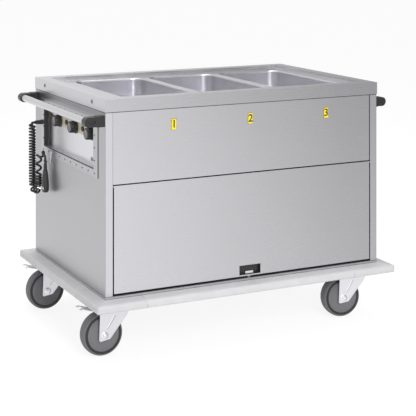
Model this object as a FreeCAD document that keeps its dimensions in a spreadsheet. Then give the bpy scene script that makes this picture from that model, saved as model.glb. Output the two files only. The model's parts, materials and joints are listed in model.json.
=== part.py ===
"""A three-well hot food serving trolley on four braked swivel castors, in millimetres.

X runs along the trolley, Y from the serving side to the back and Z up from the floor.
The origin lies on the floor, under the middle of the trolley's overall box.
"""

import FreeCAD, Part
import math
import os
import re
import Sketcher

V = FreeCAD.Vector

# Each driving size is one cell of the sheet; all other measures are worked out from these.
SIZES = {
    # worktop: one pressed sheet with a raised rim and a sunken deck
    "top_length": 1200,
    "top_depth": 715,
    "top_height": 945,
    "top_sheet": 1.5,
    "fascia_high": 47,
    "rim_wide": 47,
    "rim_step": 15,
    # deep-drawn wells, each for one full-size food pan
    "well_wide": 305,
    "well_long": 508,
    "well_deep": 200,
    "well_pitch": 337,
    "well_offset": 17,
    "well_corner": 42,
    "well_wall": 1.2,
    "heater_wide": 230,
    "heater_long": 400,
    "heater_thick": 5,
    # cabinet of folded sheet
    "panel_sheet": 1.5,
    "cabinet_inset": 2,
    "cabinet_bottom": 230,
    "lining_gap": 1,
    "post_wide": 30,
    "post_deep": 30,
    "upper_panel_back": 4,
    "upper_panel_thick": 2,
    "seam_below_top": 312,
    "bay_floor_below_top": 270,
    "bay_floor_sheet": 2,
    "floor_sheet": 2,
    "strip_high": 9,
    "strip_thick": 3,
    # front flap with its hinge pins, recessed cup and sliding bolt
    "flap_thick": 20,
    "flap_side_gap": 5,
    "flap_bottom_gap": 8,
    "flap_seam_gap": 3.4,
    "flap_axis_down": 4,
    "flap_axis_back": 5,
    "hinge_pin_radius": 2.5,
    "hinge_pin_into_flap": 14,
    "cup_wide": 93,
    "cup_high": 36,
    "cup_deep": 16,
    "cup_wall": 1.5,
    "cup_over_edge": 5,
    "cup_offset": 8,
    "cup_fit": 0.1,
    "bolt_wide": 12,
    "bolt_thick": 4,
    "bolt_over_floor": 0.5,
    "bolt_travel": 8,
    "bolt_tab_wide": 34,
    "bolt_tab_high": 10,
    "bolt_tab_deep": 9,
    # recessed control bay in the left end
    "cover_from_side": 65.5,
    "cover_high": 220,
    "cover_below_top": 187.5,
    "cover_sheet": 1.5,
    "window_border": 40,
    "window_high": 160,
    "recess_deep": 18,
    "recess_wall": 1.5,
    "knob_radius": 23,
    "knob_skirt_radius": 26,
    "knob_skirt_long": 4,
    "knob_long": 28,
    "knob_pitch": 163,
    "knob_offset": -37,
    "knob_below_top": 148,
    "knob_gap": 0.5,
    "scale_wide": 400,
    "scale_high": 40,
    "scale_thick": 0.8,
    "thermostat_wide": 42,
    "thermostat_deep": 26,
    "shaft_radius": 3,
    "turning_fit": 0.1,
    # push handle at the left end and grab rail at the right end
    "handle_below_top": 80,
    "handle_tube_radius": 13.5,
    "handle_socket_deep": 16,
    "bracket_high": 36,
    "bracket_wide": 30,
    "bracket_edge": 1.5,
    "bracket_foot_long": 30,
    "bracket_foot_proud": 2,
    "bracket_slot_high": 13,
    "bracket_slot_deep": 4,
    "left_reach": 80,
    "right_reach": 48,
    # chassis and bumper
    "channel_wide": 128,
    "rail_wide": 30,
    "bumper_out": 54,
    "bumper_high": 33,
    "bumper_slope": 4,
    "bumper_top_round": 12,
    "bumper_bottom_round": 8,
    "bumper_corner_leg": 145,
    "bumper_corner_round": 15,
    # castors
    "castor_high": 195,
    "castor_from_end": 69,
    "castor_from_side": 69,
    "castor_trail": 55,
    "turn_front_left": 0,
    "turn_front_right": -7,
    "turn_rear_left": 0,
    "turn_rear_right": 4,
    "plate_long": 110,
    "plate_wide": 135,
    "plate_thick": 6,
    "plate_corner": 12,
    "race_radius": 38,
    "race_high": 7,
    "race_gap": 0.4,
    "kingpin_radius": 6,
    "crown_radius": 45,
    "crown_thick": 5,
    "head_high": 5,
    "wheel_radius": 80,
    "wheel_wide": 42,
    "hub_long": 60,
    "hub_radius": 17,
    "axle_radius": 6,
    "axle_head_radius": 10,
    "axle_head_thick": 5,
    "rim_radius": 66,
    "tread_bevel": 2.5,
    "fork_sheet": 3.5,
    "fork_gap": 0.4,
    "fork_foot": 22,
    "fork_foot_round": 7,
    "pedal_wide": 50,
    "pedal_sheet": 2.5,
    "pedal_pivot_back": 60,
    "pedal_pivot_up": 169,
    "pedal_pin_radius": 4,
    "pedal_reach": 147,
    "pedal_tip_up": 184,
    "pedal_notch_wide": 22,
    "pedal_notch_long": 14,
    # drain of the wells
    "drain_radius": 11,
    "drain_wall": 1.5,
    "drain_y": 150,
    "drain_below_well": 30,
    "drain_from_end": 168,
    "drain_from_back": 55.5,
    "drain_under": 12,
    "drain_fit": 0.3,
    "valve_radius": 18,
    "valve_high": 50,
    "valve_below_bay": 115,
    "valve_neck_radius": 8,
    "valve_neck_long": 14,
    "lever_long": 85,
    "lever_wide": 16,
    "lever_thick": 4,
    # mains lead: gland, curly cord, plug and its hook
    "gland_radius": 10,
    "gland_long": 32,
    "gland_from_edge": 11,
    "gland_neck_radius": 8,
    "gland_below_top": 176,
    "gland_tip_radius": 6.5,
    "cord_radius": 4.5,
    "coil_radius": 10.5,
    "coil_out": 48,
    "coil_step_out": 12,
    "coil_step_front": 39,
    "plug_out": 25,
    "plug_from_gland": 99,
    "plug_head_radius": 19,
    "plug_head_thick": 26,
    "plug_head_below_top": 424,
    "plug_top_below_top": 313,
    "plug_neck_radius": 7.5,
    "pin_radius": 2.4,
    "pin_long": 19,
    "pin_pitch": 19,
    "hook_wide": 8,
    "hook_thick": 2,
    "hook_up": 44,
    "hook_below_neck": 9,
    "hook_rim": 6.5,
    "hook_fit": 0.3,
}

# Named measures that follow from the driving sizes.
WORKED = {
    "body_x": "(left_reach - bumper_out) / 2",
    "half_long": "(top_length / 2 - cabinet_inset)",
    "half_deep": "(top_depth / 2 - cabinet_inset)",
    "deck_up": "(top_height - rim_step)",
    "deck_under": "(deck_up - top_sheet)",
    "well_under": "(deck_up - well_deep - well_wall)",
    "chassis_up": "castor_high",
    "strip_up": "(cabinet_bottom - strip_high)",
    "front_face": "(-half_deep)",
    "flap_up": "(cabinet_bottom + flap_bottom_gap)",
    "flap_top": "(top_height - seam_below_top - flap_seam_gap)",
    "flap_half": "(half_long - post_wide - flap_side_gap)",
    "flap_axis_z": "(flap_top - flap_axis_down)",
    "flap_axis_y": "(front_face + flap_axis_back)",
    "cup_up": "(flap_up + cup_over_edge)",
    "cover_z": "(top_height - cover_below_top)",
    "knob_z": "(top_height - knob_below_top)",
    "recess_x": "(-half_long + recess_deep)",
    "handle_z": "(top_height - handle_below_top)",
    "bay_floor_z": "(top_height - bay_floor_below_top)",
    "leg_in": "(hub_long / 2 + fork_gap)",
    "leg_out": "(leg_in + fork_sheet)",
    "plate_under": "(castor_high - plate_thick)",
    "head_top": "(plate_under - race_high - race_gap)",
    "crown_top": "(head_top - head_high)",
    "crown_under": "(crown_top - crown_thick)",
    "manifold_z": "(well_under - drain_below_well)",
    "gland_z": "(top_height - gland_below_top)",
    "cover_face": "(-half_long - cover_sheet)",
    "plug_z": "(top_height - plug_head_below_top)",
    "plug_top": "(top_height - plug_top_below_top)",
    "plug_x": "(-half_long - plug_out)",
    "castor_x": "(half_long - castor_from_end)",
    "castor_y": "(half_deep - castor_from_side)",
    "cover_wide": "(2 * half_deep - 2 * cover_from_side)",
    "window_wide": "(cover_wide - 2 * window_border)",
    "gland_y": "(cover_wide / 2 - gland_from_edge)",
    "plug_y": "(gland_y - plug_from_gland)",
    "drain_x": "(half_long - drain_from_end)",
    "drain_down_y": "(half_deep - drain_from_back)",
    "valve_up": "(bay_floor_z - valve_below_bay)",
}

WELLS = 3
CORD_SIDES = 4
LOOSE_TURNS = 7
CLOSE_TURNS = 15
BEND_TURNS = 3
RETURN_TURNS = 4
RISING_TURNS = 2
FIRST_PITCH = 13.5
CLOSE_PITCH = 11
BIARCS_PER_TURN = 2

doc = FreeCAD.newDocument("serving_trolley")
sheet = doc.addObject("Spreadsheet::Sheet", "sizes")
for row, (word, value) in enumerate(SIZES.items(), 1):
    sheet.set(f"A{row}", word)
    sheet.set(f"B{row}", str(value))
    sheet.setAlias(f"B{row}", word)
doc.recompute()

nodes = []


def cell(text):
    """Write a formula of size names in the sheet's own terms."""
    def spell(match):
        name = match.group()
        if name in WORKED:
            return "(" + cell(WORKED[name]) + ")"
        return "sizes." + name if name in SIZES else name
    return re.sub(r"[a-z_]+", spell, str(text))


def number(text):
    """The present value of a formula."""
    found = sheet.evalExpression(cell(text))
    return float(getattr(found, "Value", found))


def bind(thing, **formulas):
    """Tie properties of an object to formulas."""
    for name, text in formulas.items():
        thing.setExpression(name, cell(text))
    return thing


def place(thing, x="0", y="0", z="0", turn=None):
    """Put an object where formulas say, after turning it about Z by a formula's degrees."""
    if turn is not None:
        thing.Placement = FreeCAD.Placement(V(), FreeCAD.Rotation(V(0, 0, 1), 1))
        thing.setExpression("Placement.Rotation.Angle", f"({cell(turn)}) * 1 deg")
    thing.setExpression("Placement.Base.x", cell(x))
    thing.setExpression("Placement.Base.y", cell(y))
    thing.setExpression("Placement.Base.z", cell(z))
    return thing


def node(thing, label):
    """Name an object as one finished sub-part."""
    thing.Label = label
    nodes.append(thing)
    return thing


def block(name, size, corner):
    """A rectangular block from its lowest corner, measured from the cabinet's middle."""
    made = doc.addObject("Part::Box", name)
    bind(made, Length=size[0], Width=size[1], Height=size[2])
    return place(made, f"body_x + {corner[0]}", corner[1], corner[2])


def rod(name, radius, length, start, along=(0, 0, 1)):
    """A round bar that starts at a point measured from the cabinet's middle."""
    made = doc.addObject("Part::Cylinder", name)
    bind(made, Radius=radius, Height=length)
    made.Placement = FreeCAD.Placement(V(), FreeCAD.Rotation(V(0, 0, 1), V(*along)))
    return place(made, f"body_x + {start[0]}", start[1], start[2])


def fuse(name, *pieces):
    """Join pieces into one solid."""
    made = doc.addObject("Part::MultiFuse", name)
    made.Shapes = list(pieces)
    made.Refine = True
    return made


def cut(name, base, *tools):
    """Take tools out of a base."""
    made = doc.addObject("Part::Cut", name)
    made.Base = base
    made.Tool = tools[0] if len(tools) == 1 else fuse(name + "_tools", *tools)
    return made


def group(name, pieces):
    """Keep like pieces together as separate solids of one sub-part."""
    made = doc.addObject("Part::Compound", name)
    made.Links = list(pieces)
    return made


def origin_part(body, role):
    """A plane or axis of a body's own origin."""
    return next(part for part in body.Origin.OriginFeatures if part.Role == role)


def new_sketch(body, name, role, lift="0"):
    """An empty sketch on a plane of the body, lifted along the plane's normal."""
    made = body.newObject("Sketcher::SketchObject", name)
    made.AttachmentSupport = [(origin_part(body, role), "")]
    made.MapMode = "FlatFace"
    made.setExpression("AttachmentOffset.Base.z", cell(lift))
    return made


def fix_point(sketch, index, which, x, y):
    """Tie one point of a sketch to formulas for its two coordinates."""
    for kind, text in (("DistanceX", x), ("DistanceY", y)):
        tie = sketch.addConstraint(Sketcher.Constraint(kind, -1, 1, index, which, number(text)))
        sketch.setExpression(f"Constraints[{tie}]", cell(text))


def outline(sketch, corners):
    """A closed outline of straight sides; a corner's third value, where given, rounds it."""
    spots = [V(number(c[0]), number(c[1]), 0) for c in corners]
    rounds = [number(c[2]) if len(c) > 2 else 0 for c in corners]
    count = len(corners)
    starts, ends, arcs = [], [], []
    for i, spot in enumerate(spots):
        if not rounds[i]:
            starts.append(spot)
            ends.append(spot)
            arcs.append(None)
            continue
        before = (spot - spots[i - 1]).normalize()
        after = (spots[(i + 1) % count] - spot).normalize()
        side = 1 if before.x * after.y - before.y * after.x > 0 else -1
        reach = rounds[i] * math.tan(before.getAngle(after) / 2)
        entry = spot - before * reach
        leave = spot + after * reach
        centre = entry + V(-before.y, before.x, 0) * side * rounds[i]
        angles = [math.atan2(p.y - centre.y, p.x - centre.x) for p in (entry, leave)]
        if side < 0:
            angles.reverse()
        if angles[1] < angles[0]:
            angles[1] += 2 * math.pi
        circle = Part.Circle(centre, V(0, 0, 1), rounds[i])
        starts.append(entry)
        ends.append(leave)
        arcs.append((Part.ArcOfCircle(circle, *angles), side))
    lines = [sketch.addGeometry(Part.LineSegment(ends[i], starts[(i + 1) % count]), False)
             for i in range(count)]
    for i, corner in enumerate(corners):
        arriving, leaving = lines[i - 1], lines[i]
        if arcs[i] is None:
            sketch.addConstraint(Sketcher.Constraint("Coincident", arriving, 2, leaving, 1))
            fix_point(sketch, leaving, 1, corner[0], corner[1])
            continue
        arc = sketch.addGeometry(arcs[i][0], False)
        mark = sketch.addGeometry(Part.Point(spots[i]), True)
        first, last = (1, 2) if arcs[i][1] > 0 else (2, 1)
        sketch.addConstraint(Sketcher.Constraint("Tangent", arriving, 2, arc, first))
        sketch.addConstraint(Sketcher.Constraint("Tangent", arc, last, leaving, 1))
        sketch.addConstraint(Sketcher.Constraint("PointOnObject", mark, 1, arriving))
        sketch.addConstraint(Sketcher.Constraint("PointOnObject", mark, 1, leaving))
        fix_point(sketch, mark, 1, corner[0], corner[1])
        tie = sketch.addConstraint(Sketcher.Constraint("Radius", arc, rounds[i]))
        sketch.setExpression(f"Constraints[{tie}]", cell(corner[2]))
    return sketch


def rectangle(sketch, wide, high, x="0", y="0", corner=None):
    """A centred rectangle, with rounded corners if a radius is given."""
    more = () if corner is None else (corner,)
    return outline(sketch, [(f"{x} + {a} * ({wide}) / 2", f"{y} + {b} * ({high}) / 2", *more)
                            for a, b in ((-1, -1), (1, -1), (1, 1), (-1, 1))])


def ring(sketch, radius, x="0", y="0"):
    """A full circle."""
    index = sketch.addGeometry(Part.Circle(V(number(x), number(y), 0), V(0, 0, 1), number(radius)))
    fix_point(sketch, index, 3, x, y)
    tie = sketch.addConstraint(Sketcher.Constraint("Radius", index, number(radius)))
    sketch.setExpression(f"Constraints[{tie}]", cell(radius))
    return sketch


def pad(body, sketch, length, reverse=False, middle=False):
    """Raise a sketch into material."""
    made = body.newObject("PartDesign::Pad", sketch.Name + "_pad")
    made.Profile = sketch
    made.Reversed = reverse
    made.SideType = "Symmetric" if middle else "One side"
    return bind(made, Length=length)


def pocket(body, sketch, length, reverse=False, middle=False):
    """Take a sketch's area out of the material."""
    made = body.newObject("PartDesign::Pocket", sketch.Name + "_pocket")
    made.Profile = sketch
    made.Reversed = reverse
    made.SideType = "Symmetric" if middle else "One side"
    return bind(made, Length=length)


def revolve(body, sketch, axis, angle=360):
    """Turn a sketch about an axis of the body."""
    made = body.newObject("PartDesign::Revolution", sketch.Name + "_turned")
    made.Profile = sketch
    made.ReferenceAxis = (origin_part(body, axis), [""])
    made.Angle = angle
    return made


def new_body(name):
    """An empty body."""
    return doc.addObject("PartDesign::Body", name)


def well_x(index):
    """Formula for the middle of one well, from the cabinet's middle."""
    return f"well_offset + {index - (WELLS - 1) / 2} * well_pitch"


# Worktop: a folded sheet whose rim stands over a sunken deck with one opening per well.
top = new_body("worktop_body")
pad(top, rectangle(new_sketch(top, "top_outer", "XY_Plane"), "top_length", "top_depth"), "fascia_high")
pocket(top, rectangle(new_sketch(top, "deck_sunk", "XY_Plane", "fascia_high"),
                      "top_length - 2 * rim_wide", "top_depth - 2 * rim_wide"), "rim_step")
pocket(top, rectangle(new_sketch(top, "under_deck", "XY_Plane"),
                      "top_length - 2 * top_sheet", "top_depth - 2 * top_sheet"),
       "fascia_high - rim_step - top_sheet", reverse=True)
mouths = new_sketch(top, "well_mouths", "XY_Plane", "fascia_high")
for index in range(WELLS):
    rectangle(mouths, "well_wide", "well_long", well_x(index), "0", "well_corner")
pocket(top, mouths, "fascia_high")
place(top, "body_x", "0", "top_height - fascia_high")
node(top, "worktop")

# Wells: deep-drawn pans that hang from the deck, with a drain hole in the floor.
for index in range(WELLS):
    name = f"well_{index + 1}"
    well = new_body(name + "_body")
    outer = rectangle(new_sketch(well, name + "_outer", "XY_Plane"), "well_wide + 2 * well_wall",
                      "well_long + 2 * well_wall", corner="well_corner + well_wall")
    pad(well, outer, "well_deep + well_wall - top_sheet")
    inner = rectangle(new_sketch(well, name + "_inner", "XY_Plane", "well_wall"), "well_wide",
                      "well_long", corner="well_corner")
    pocket(well, inner, "well_deep", reverse=True)
    drain_hole = new_sketch(well, name + "_drain_hole", "XY_Plane")
    pocket(well, ring(drain_hole, "drain_radius", "0", "drain_y"), "2 * well_wall", reverse=True)
    place(well, f"body_x + {well_x(index)}", "0", "well_under")
    node(well, name)

# Heating plates lie against the underside of the wells, ahead of the drains.
plates = [block(f"heater_{i + 1}", ("heater_wide", "drain_y - 2 * drain_radius + heater_long / 2",
                                     "heater_thick"),
                (f"{well_x(i)} - heater_wide / 2", "-heater_long / 2", "well_under - heater_thick"))
          for i in range(WELLS)]
node(group("heater_group", plates), "heating_plates")

# Cabinet: end and rear sheets, corner posts, front panel and floors.
wall_high = "(deck_under - cabinet_bottom)"
left_sheet = block("left_sheet", ("panel_sheet", "2 * half_deep", wall_high),
                   ("-half_long", "-half_deep", "cabinet_bottom"))
left_window = block("left_window", ("3 * panel_sheet", "window_wide", "window_high"),
                    ("-half_long - panel_sheet", "-window_wide / 2", "cover_z - window_high / 2"))
left_gland = rod("left_gland_hole", "gland_tip_radius", "3 * panel_sheet",
                 ("-half_long - panel_sheet", "gland_y", "gland_z"), (1, 0, 0))
node(cut("left_panel_cut", left_sheet, left_window, left_gland), "left_end_panel")
node(block("right_sheet", ("panel_sheet", "2 * half_deep", wall_high),
           ("half_long - panel_sheet", "-half_deep", "cabinet_bottom")), "right_end_panel")
inner_half = "(half_long - panel_sheet)"
node(block("rear_sheet", ("2 * " + inner_half, "panel_sheet", wall_high),
           ("-" + inner_half, "half_deep - panel_sheet", "cabinet_bottom")), "rear_panel")
posts = []
for side, left in (("left", f"-{inner_half}"), ("right", f"{inner_half} - post_wide + panel_sheet")):
    for end, near in (("front", "-half_deep"), ("rear", "half_deep - panel_sheet - post_deep")):
        post = block(f"{side}_{end}_post", ("post_wide - panel_sheet", "post_deep", wall_high),
                     (left, near, "cabinet_bottom"))
        posts.append(post)
pins = []
for side, start in (("left", "-half_long + post_wide"), ("right", "half_long - post_wide")):
    way = 1 if side == "left" else -1
    pins.append(rod(f"{side}_hinge_pin", "hinge_pin_radius", "flap_side_gap + hinge_pin_into_flap",
                    (start, "flap_axis_y", "flap_axis_z"), (way, 0, 0)))
node(group("post_group", posts), "corner_posts")
node(group("pin_group", pins), "flap_hinge_pins")
span = "(half_long - post_wide)"
node(block("upper_front", ("2 * " + span, "upper_panel_thick", "deck_under - top_height + seam_below_top"),
           ("-" + span, "-half_deep + upper_panel_back", "top_height - seam_below_top")),
     "upper_front_panel")
strips = [block("front_strip", ("2 * half_long", "strip_thick", "strip_high"),
                ("-half_long", "-half_deep", "strip_up")),
          block("rear_strip", ("2 * half_long", "strip_thick", "strip_high"),
                ("-half_long", "half_deep - strip_thick", "strip_up")),
          block("left_strip", ("strip_thick", "2 * half_deep - 2 * strip_thick", "strip_high"),
                ("-half_long", "-half_deep + strip_thick", "strip_up")),
          block("right_strip", ("strip_thick", "2 * half_deep - 2 * strip_thick", "strip_high"),
                ("half_long - strip_thick", "-half_deep + strip_thick", "strip_up"))]
node(group("strip_group", strips), "base_strips")
floor_plate = block("floor_plate", ("2 * half_long - 2 * strip_thick", "2 * half_deep - 2 * strip_thick",
                                    "floor_sheet"),
                    ("-half_long + strip_thick", "-half_deep + strip_thick", "cabinet_bottom - floor_sheet"))
bolt_y = "(front_face + flap_thick / 2)"
keeper = block("keeper_slot", ("bolt_wide + 2 * cup_fit", "bolt_thick + 2 * cup_fit", "3 * floor_sheet"),
               ("cup_offset - bolt_wide / 2 - cup_fit", f"{bolt_y} - bolt_thick / 2 - cup_fit",
                "cabinet_bottom - 2 * floor_sheet"))
floor_drain = rod("floor_drain_hole", "drain_radius + drain_fit", "3 * floor_sheet",
                  ("drain_x", "drain_down_y", "cabinet_bottom - 2 * floor_sheet"))
node(cut("floor_cut", floor_plate, keeper, floor_drain), "cupboard_floor")
bay_plate = block("bay_plate", ("2 * " + inner_half, "2 * half_deep - 2 * panel_sheet - upper_panel_back"
                                " - upper_panel_thick + panel_sheet", "bay_floor_sheet"),
                  ("-" + inner_half, "-half_deep + upper_panel_back + upper_panel_thick", "bay_floor_z"))
bay_drain = rod("bay_drain_hole", "drain_radius + drain_fit", "3 * bay_floor_sheet",
                ("drain_x", "drain_down_y", "bay_floor_z - bay_floor_sheet"))
notches = [block(f"bay_notch_{side}_{end}", ("post_wide - panel_sheet + lining_gap", "post_deep + lining_gap",
                                             "3 * bay_floor_sheet"),
                 (x, y, "bay_floor_z - bay_floor_sheet"))
           for side, x in (("left", f"-{inner_half}"),
                           ("right", f"{inner_half} - post_wide + panel_sheet - lining_gap"))
           for end, y in (("front", "-half_deep"),
                          ("rear", "half_deep - panel_sheet - post_deep - lining_gap"))]
node(cut("bay_cut", bay_plate, bay_drain, *notches), "well_bay_floor")

# Chassis: two cross channels that carry the castors and two long rails between them.
channel_in = "(half_long - channel_wide)"
frame_parts = []
for side, x in (("left", "-half_long"), ("right", channel_in)):
    frame_parts.append(block(f"{side}_channel", ("channel_wide", "2 * half_deep", "strip_up - chassis_up"),
                             (x, "-half_deep", "chassis_up")))
for end, y in (("front", "-half_deep"), ("rear", "half_deep - rail_wide")):
    frame_parts.append(block(f"{end}_rail", ("2 * " + channel_in, "rail_wide", "strip_up - chassis_up"),
                             ("-" + channel_in, y, "chassis_up")))
node(group("frame_group", frame_parts), "chassis_frame")


def bumper_section(sketch, side=1):
    """The bumper's cross section, out from the chassis along the sketch's first axis."""
    return outline(sketch, [("0", "0"), (f"{side} * bumper_out", "0", "bumper_bottom_round"),
                            (f"{side} * bumper_out", "bumper_high - bumper_slope", "bumper_top_round"),
                            ("0", "bumper_high")])


# Bumper: straight rails between moulded corner pieces.
bumper_z = "strip_up - bumper_high"
rails = []
for name, plane, side, length, x, y in (
        ("front", "YZ_Plane", -1, "2 * half_long", "0", "-half_deep"),
        ("rear", "YZ_Plane", 1, "2 * half_long", "0", "half_deep"),
        ("left", "XZ_Plane", -1, "2 * half_deep", "-half_long", "0"),
        ("right", "XZ_Plane", 1, "2 * half_deep", "half_long", "0")):
    rail = new_body(name + "_bumper_rail")
    pad(rail, bumper_section(new_sketch(rail, name + "_rail_section", plane), side),
        f"{length} - 2 * bumper_corner_leg", middle=True)
    rails.append(place(rail, f"body_x + {x}", y, bumper_z))
node(group("rail_group", rails), "bumper_rails")
corners = []
for name, sx, sy, quarter in (("front_left", -1, -1, 180), ("front_right", 1, -1, 270),
                              ("rear_right", 1, 1, 0), ("rear_left", -1, 1, 90)):
    corner = new_body(name + "_bumper_corner")
    angle_plan = new_sketch(corner, name + "_corner_plan", "XY_Plane")
    outline(angle_plan, [("-bumper_corner_leg", "0"), ("-bumper_corner_leg", "bumper_out"),
                         ("bumper_out", "bumper_out", "bumper_corner_round"),
                         ("bumper_out", "-bumper_corner_leg"), ("0", "-bumper_corner_leg"), ("0", "0")])
    pad(corner, angle_plan, "bumper_high")
    for plane in ("XZ_Plane", "YZ_Plane"):
        trim = new_sketch(corner, f"{name}_trim_{plane[:2]}", plane)
        outline(trim, [("-2 * bumper_corner_leg", "-bumper_slope"), ("2 * bumper_out", "-bumper_slope"),
                       ("2 * bumper_out", "bumper_high + bumper_slope"),
                       ("-2 * bumper_corner_leg", "bumper_high + bumper_slope")])
        outline(trim, [("-1.5 * bumper_corner_leg", "0"), ("bumper_out", "0", "bumper_bottom_round"),
                       ("bumper_out", "bumper_high - bumper_slope", "bumper_top_round"),
                       ("0", "bumper_high"), ("-1.5 * bumper_corner_leg", "bumper_high")])
        pocket(corner, trim, "4 * bumper_corner_leg", middle=True)
    corner.Placement = FreeCAD.Placement(V(), FreeCAD.Rotation(V(0, 0, 1), quarter))
    corners.append(place(corner, f"body_x + {sx} * half_long", f"{sy} * half_deep", bumper_z))
node(group("corner_group", corners), "bumper_corners")

# Front flap: a closed panel on hinge pins, with a pocket for the latch cup.
flap_high = "(flap_top - flap_up)"
flap_blank = block("flap_blank", ("2 * flap_half", "flap_thick", flap_high),
                   ("-flap_half", "front_face", "flap_up"))
cup_pocket = block("cup_pocket", ("cup_wide", "cup_deep", "cup_high"),
                   ("cup_offset - cup_wide / 2", "front_face", "cup_up"))
bolt_slot = block("bolt_slot", ("bolt_wide + 2 * cup_fit", "bolt_thick + 2 * cup_fit", "3 * cup_over_edge"),
                  ("cup_offset - bolt_wide / 2 - cup_fit", f"{bolt_y} - bolt_thick / 2 - cup_fit",
                   "flap_up - cup_over_edge"))
pin_holes = [rod(f"{side}_pin_hole", "hinge_pin_radius + turning_fit / 2", "hinge_pin_into_flap + turning_fit",
                 (start, "flap_axis_y", "flap_axis_z"), (way, 0, 0))
             for side, start, way in (("left", "-flap_half", 1), ("right", "flap_half", -1))]
node(cut("flap_cut", flap_blank, cup_pocket, bolt_slot, *pin_holes), "front_flap")

# Latch: a black cup set into the flap and a bolt that is lifted by its finger tab.
cup_shell = block("cup_shell", ("cup_wide", "cup_deep", "cup_high"),
                  ("cup_offset - cup_wide / 2", "front_face", "cup_up"))
cup_space = block("cup_space", ("cup_wide - 2 * cup_wall", "cup_deep - cup_wall", "cup_high - 2 * cup_wall"),
                  ("cup_offset - cup_wide / 2 + cup_wall", "front_face", "cup_up + cup_wall"))
cup_slot = block("cup_slot", ("bolt_wide + 2 * cup_fit", "bolt_thick + 2 * cup_fit", "3 * cup_wall"),
                 ("cup_offset - bolt_wide / 2 - cup_fit", f"{bolt_y} - bolt_thick / 2 - cup_fit",
                  "cup_up - cup_wall"))
node(cut("cup_cut", cup_shell, cup_space, cup_slot), "latch_cup")
tab_z = "(cup_up + cup_wall + cup_fit)"
bolt_stem = block("bolt_stem", ("bolt_wide", "bolt_thick", f"{tab_z} - cabinet_bottom - bolt_over_floor"),
                  ("cup_offset - bolt_wide / 2", f"{bolt_y} - bolt_thick / 2",
                   "cabinet_bottom + bolt_over_floor"))
bolt_tab = block("bolt_tab", ("bolt_tab_wide", "bolt_tab_deep", "bolt_tab_high"),
                 ("cup_offset - bolt_tab_wide / 2",
                  "front_face + cup_deep - cup_wall - cup_fit - bolt_tab_deep", tab_z))
node(fuse("bolt_fuse", bolt_stem, bolt_tab), "latch_bolt")

# Control bay: cover frame, recessed tray, knob scale, thermostats and knobs.
cover_blank = block("cover_blank", ("cover_sheet", "cover_wide", "cover_high"),
                    ("cover_face", "-cover_wide / 2", "cover_z - cover_high / 2"))
cover_window = block("cover_window", ("3 * cover_sheet", "window_wide", "window_high"),
                     ("cover_face - cover_sheet", "-window_wide / 2", "cover_z - window_high / 2"))
cover_gland = rod("cover_gland_hole", "gland_tip_radius", "3 * cover_sheet",
                  ("cover_face - cover_sheet", "gland_y", "gland_z"), (1, 0, 0))
node(cut("cover_cut", cover_blank, cover_window, cover_gland), "control_cover")
tray_blank = block("tray_blank", ("recess_deep + recess_wall", "window_wide", "window_high"),
                   ("-half_long", "-window_wide / 2", "cover_z - window_high / 2"))
tray_space = block("tray_space", ("2 * recess_deep", "window_wide - 2 * recess_wall",
                                  "window_high - 2 * recess_wall"),
                   ("recess_x - 2 * recess_deep", "-window_wide / 2 + recess_wall",
                    "cover_z - window_high / 2 + recess_wall"))
knob_spots = [f"(knob_offset + {1 - i} * knob_pitch)" for i in range(WELLS)]
shaft_holes = [rod(f"shaft_hole_{i + 1}", "shaft_radius + turning_fit", "3 * recess_wall",
                   ("recess_x - recess_wall", y, "knob_z"), (1, 0, 0)) for i, y in enumerate(knob_spots)]
node(cut("tray_cut", tray_blank, tray_space, *shaft_holes), "control_panel")
scale_blank = block("scale_blank", ("scale_thick", "scale_wide", "scale_high"),
                    ("recess_x - scale_thick", "knob_offset - scale_wide / 2", "knob_z - scale_high / 2"))
scale_holes = [rod(f"scale_hole_{i + 1}", "shaft_radius + turning_fit", "3 * scale_thick",
                   ("recess_x - 2 * scale_thick", y, "knob_z"), (1, 0, 0))
               for i, y in enumerate(knob_spots)]
node(cut("scale_cut", scale_blank, *scale_holes), "knob_scale")
switches = []
for i, y in enumerate(knob_spots):
    case = block(f"thermostat_case_{i + 1}", ("thermostat_deep", "thermostat_wide", "thermostat_wide"),
                 ("recess_x + recess_wall", f"{y} - thermostat_wide / 2", "knob_z - thermostat_wide / 2"))
    shaft = rod(f"thermostat_shaft_{i + 1}", "shaft_radius", "recess_wall + scale_thick + knob_long / 2",
                ("recess_x + recess_wall", y, "knob_z"), (-1, 0, 0))
    switches.append(fuse(f"thermostat_{i + 1}", case, shaft))
node(group("thermostat_group", switches), "thermostats")
for i, y in enumerate(knob_spots):
    name = f"knob_{i + 1}"
    knob = new_body(name + "_body")
    shape = new_sketch(knob, name + "_section", "XZ_Plane")
    outline(shape, [("0", "0"), ("0", "knob_skirt_radius"), ("-knob_skirt_long", "knob_skirt_radius"),
                    ("-knob_skirt_long", "knob_radius"), ("-knob_long", "knob_radius"), ("-knob_long", "0")])
    revolve(knob, shape, "X_Axis")
    bore = new_sketch(knob, name + "_bore", "YZ_Plane")
    pocket(knob, ring(bore, "shaft_radius + turning_fit / 2"), "knob_long / 2")
    place(knob, "body_x + recess_x - scale_thick - knob_gap", y, "knob_z")
    node(knob, name)

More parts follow.
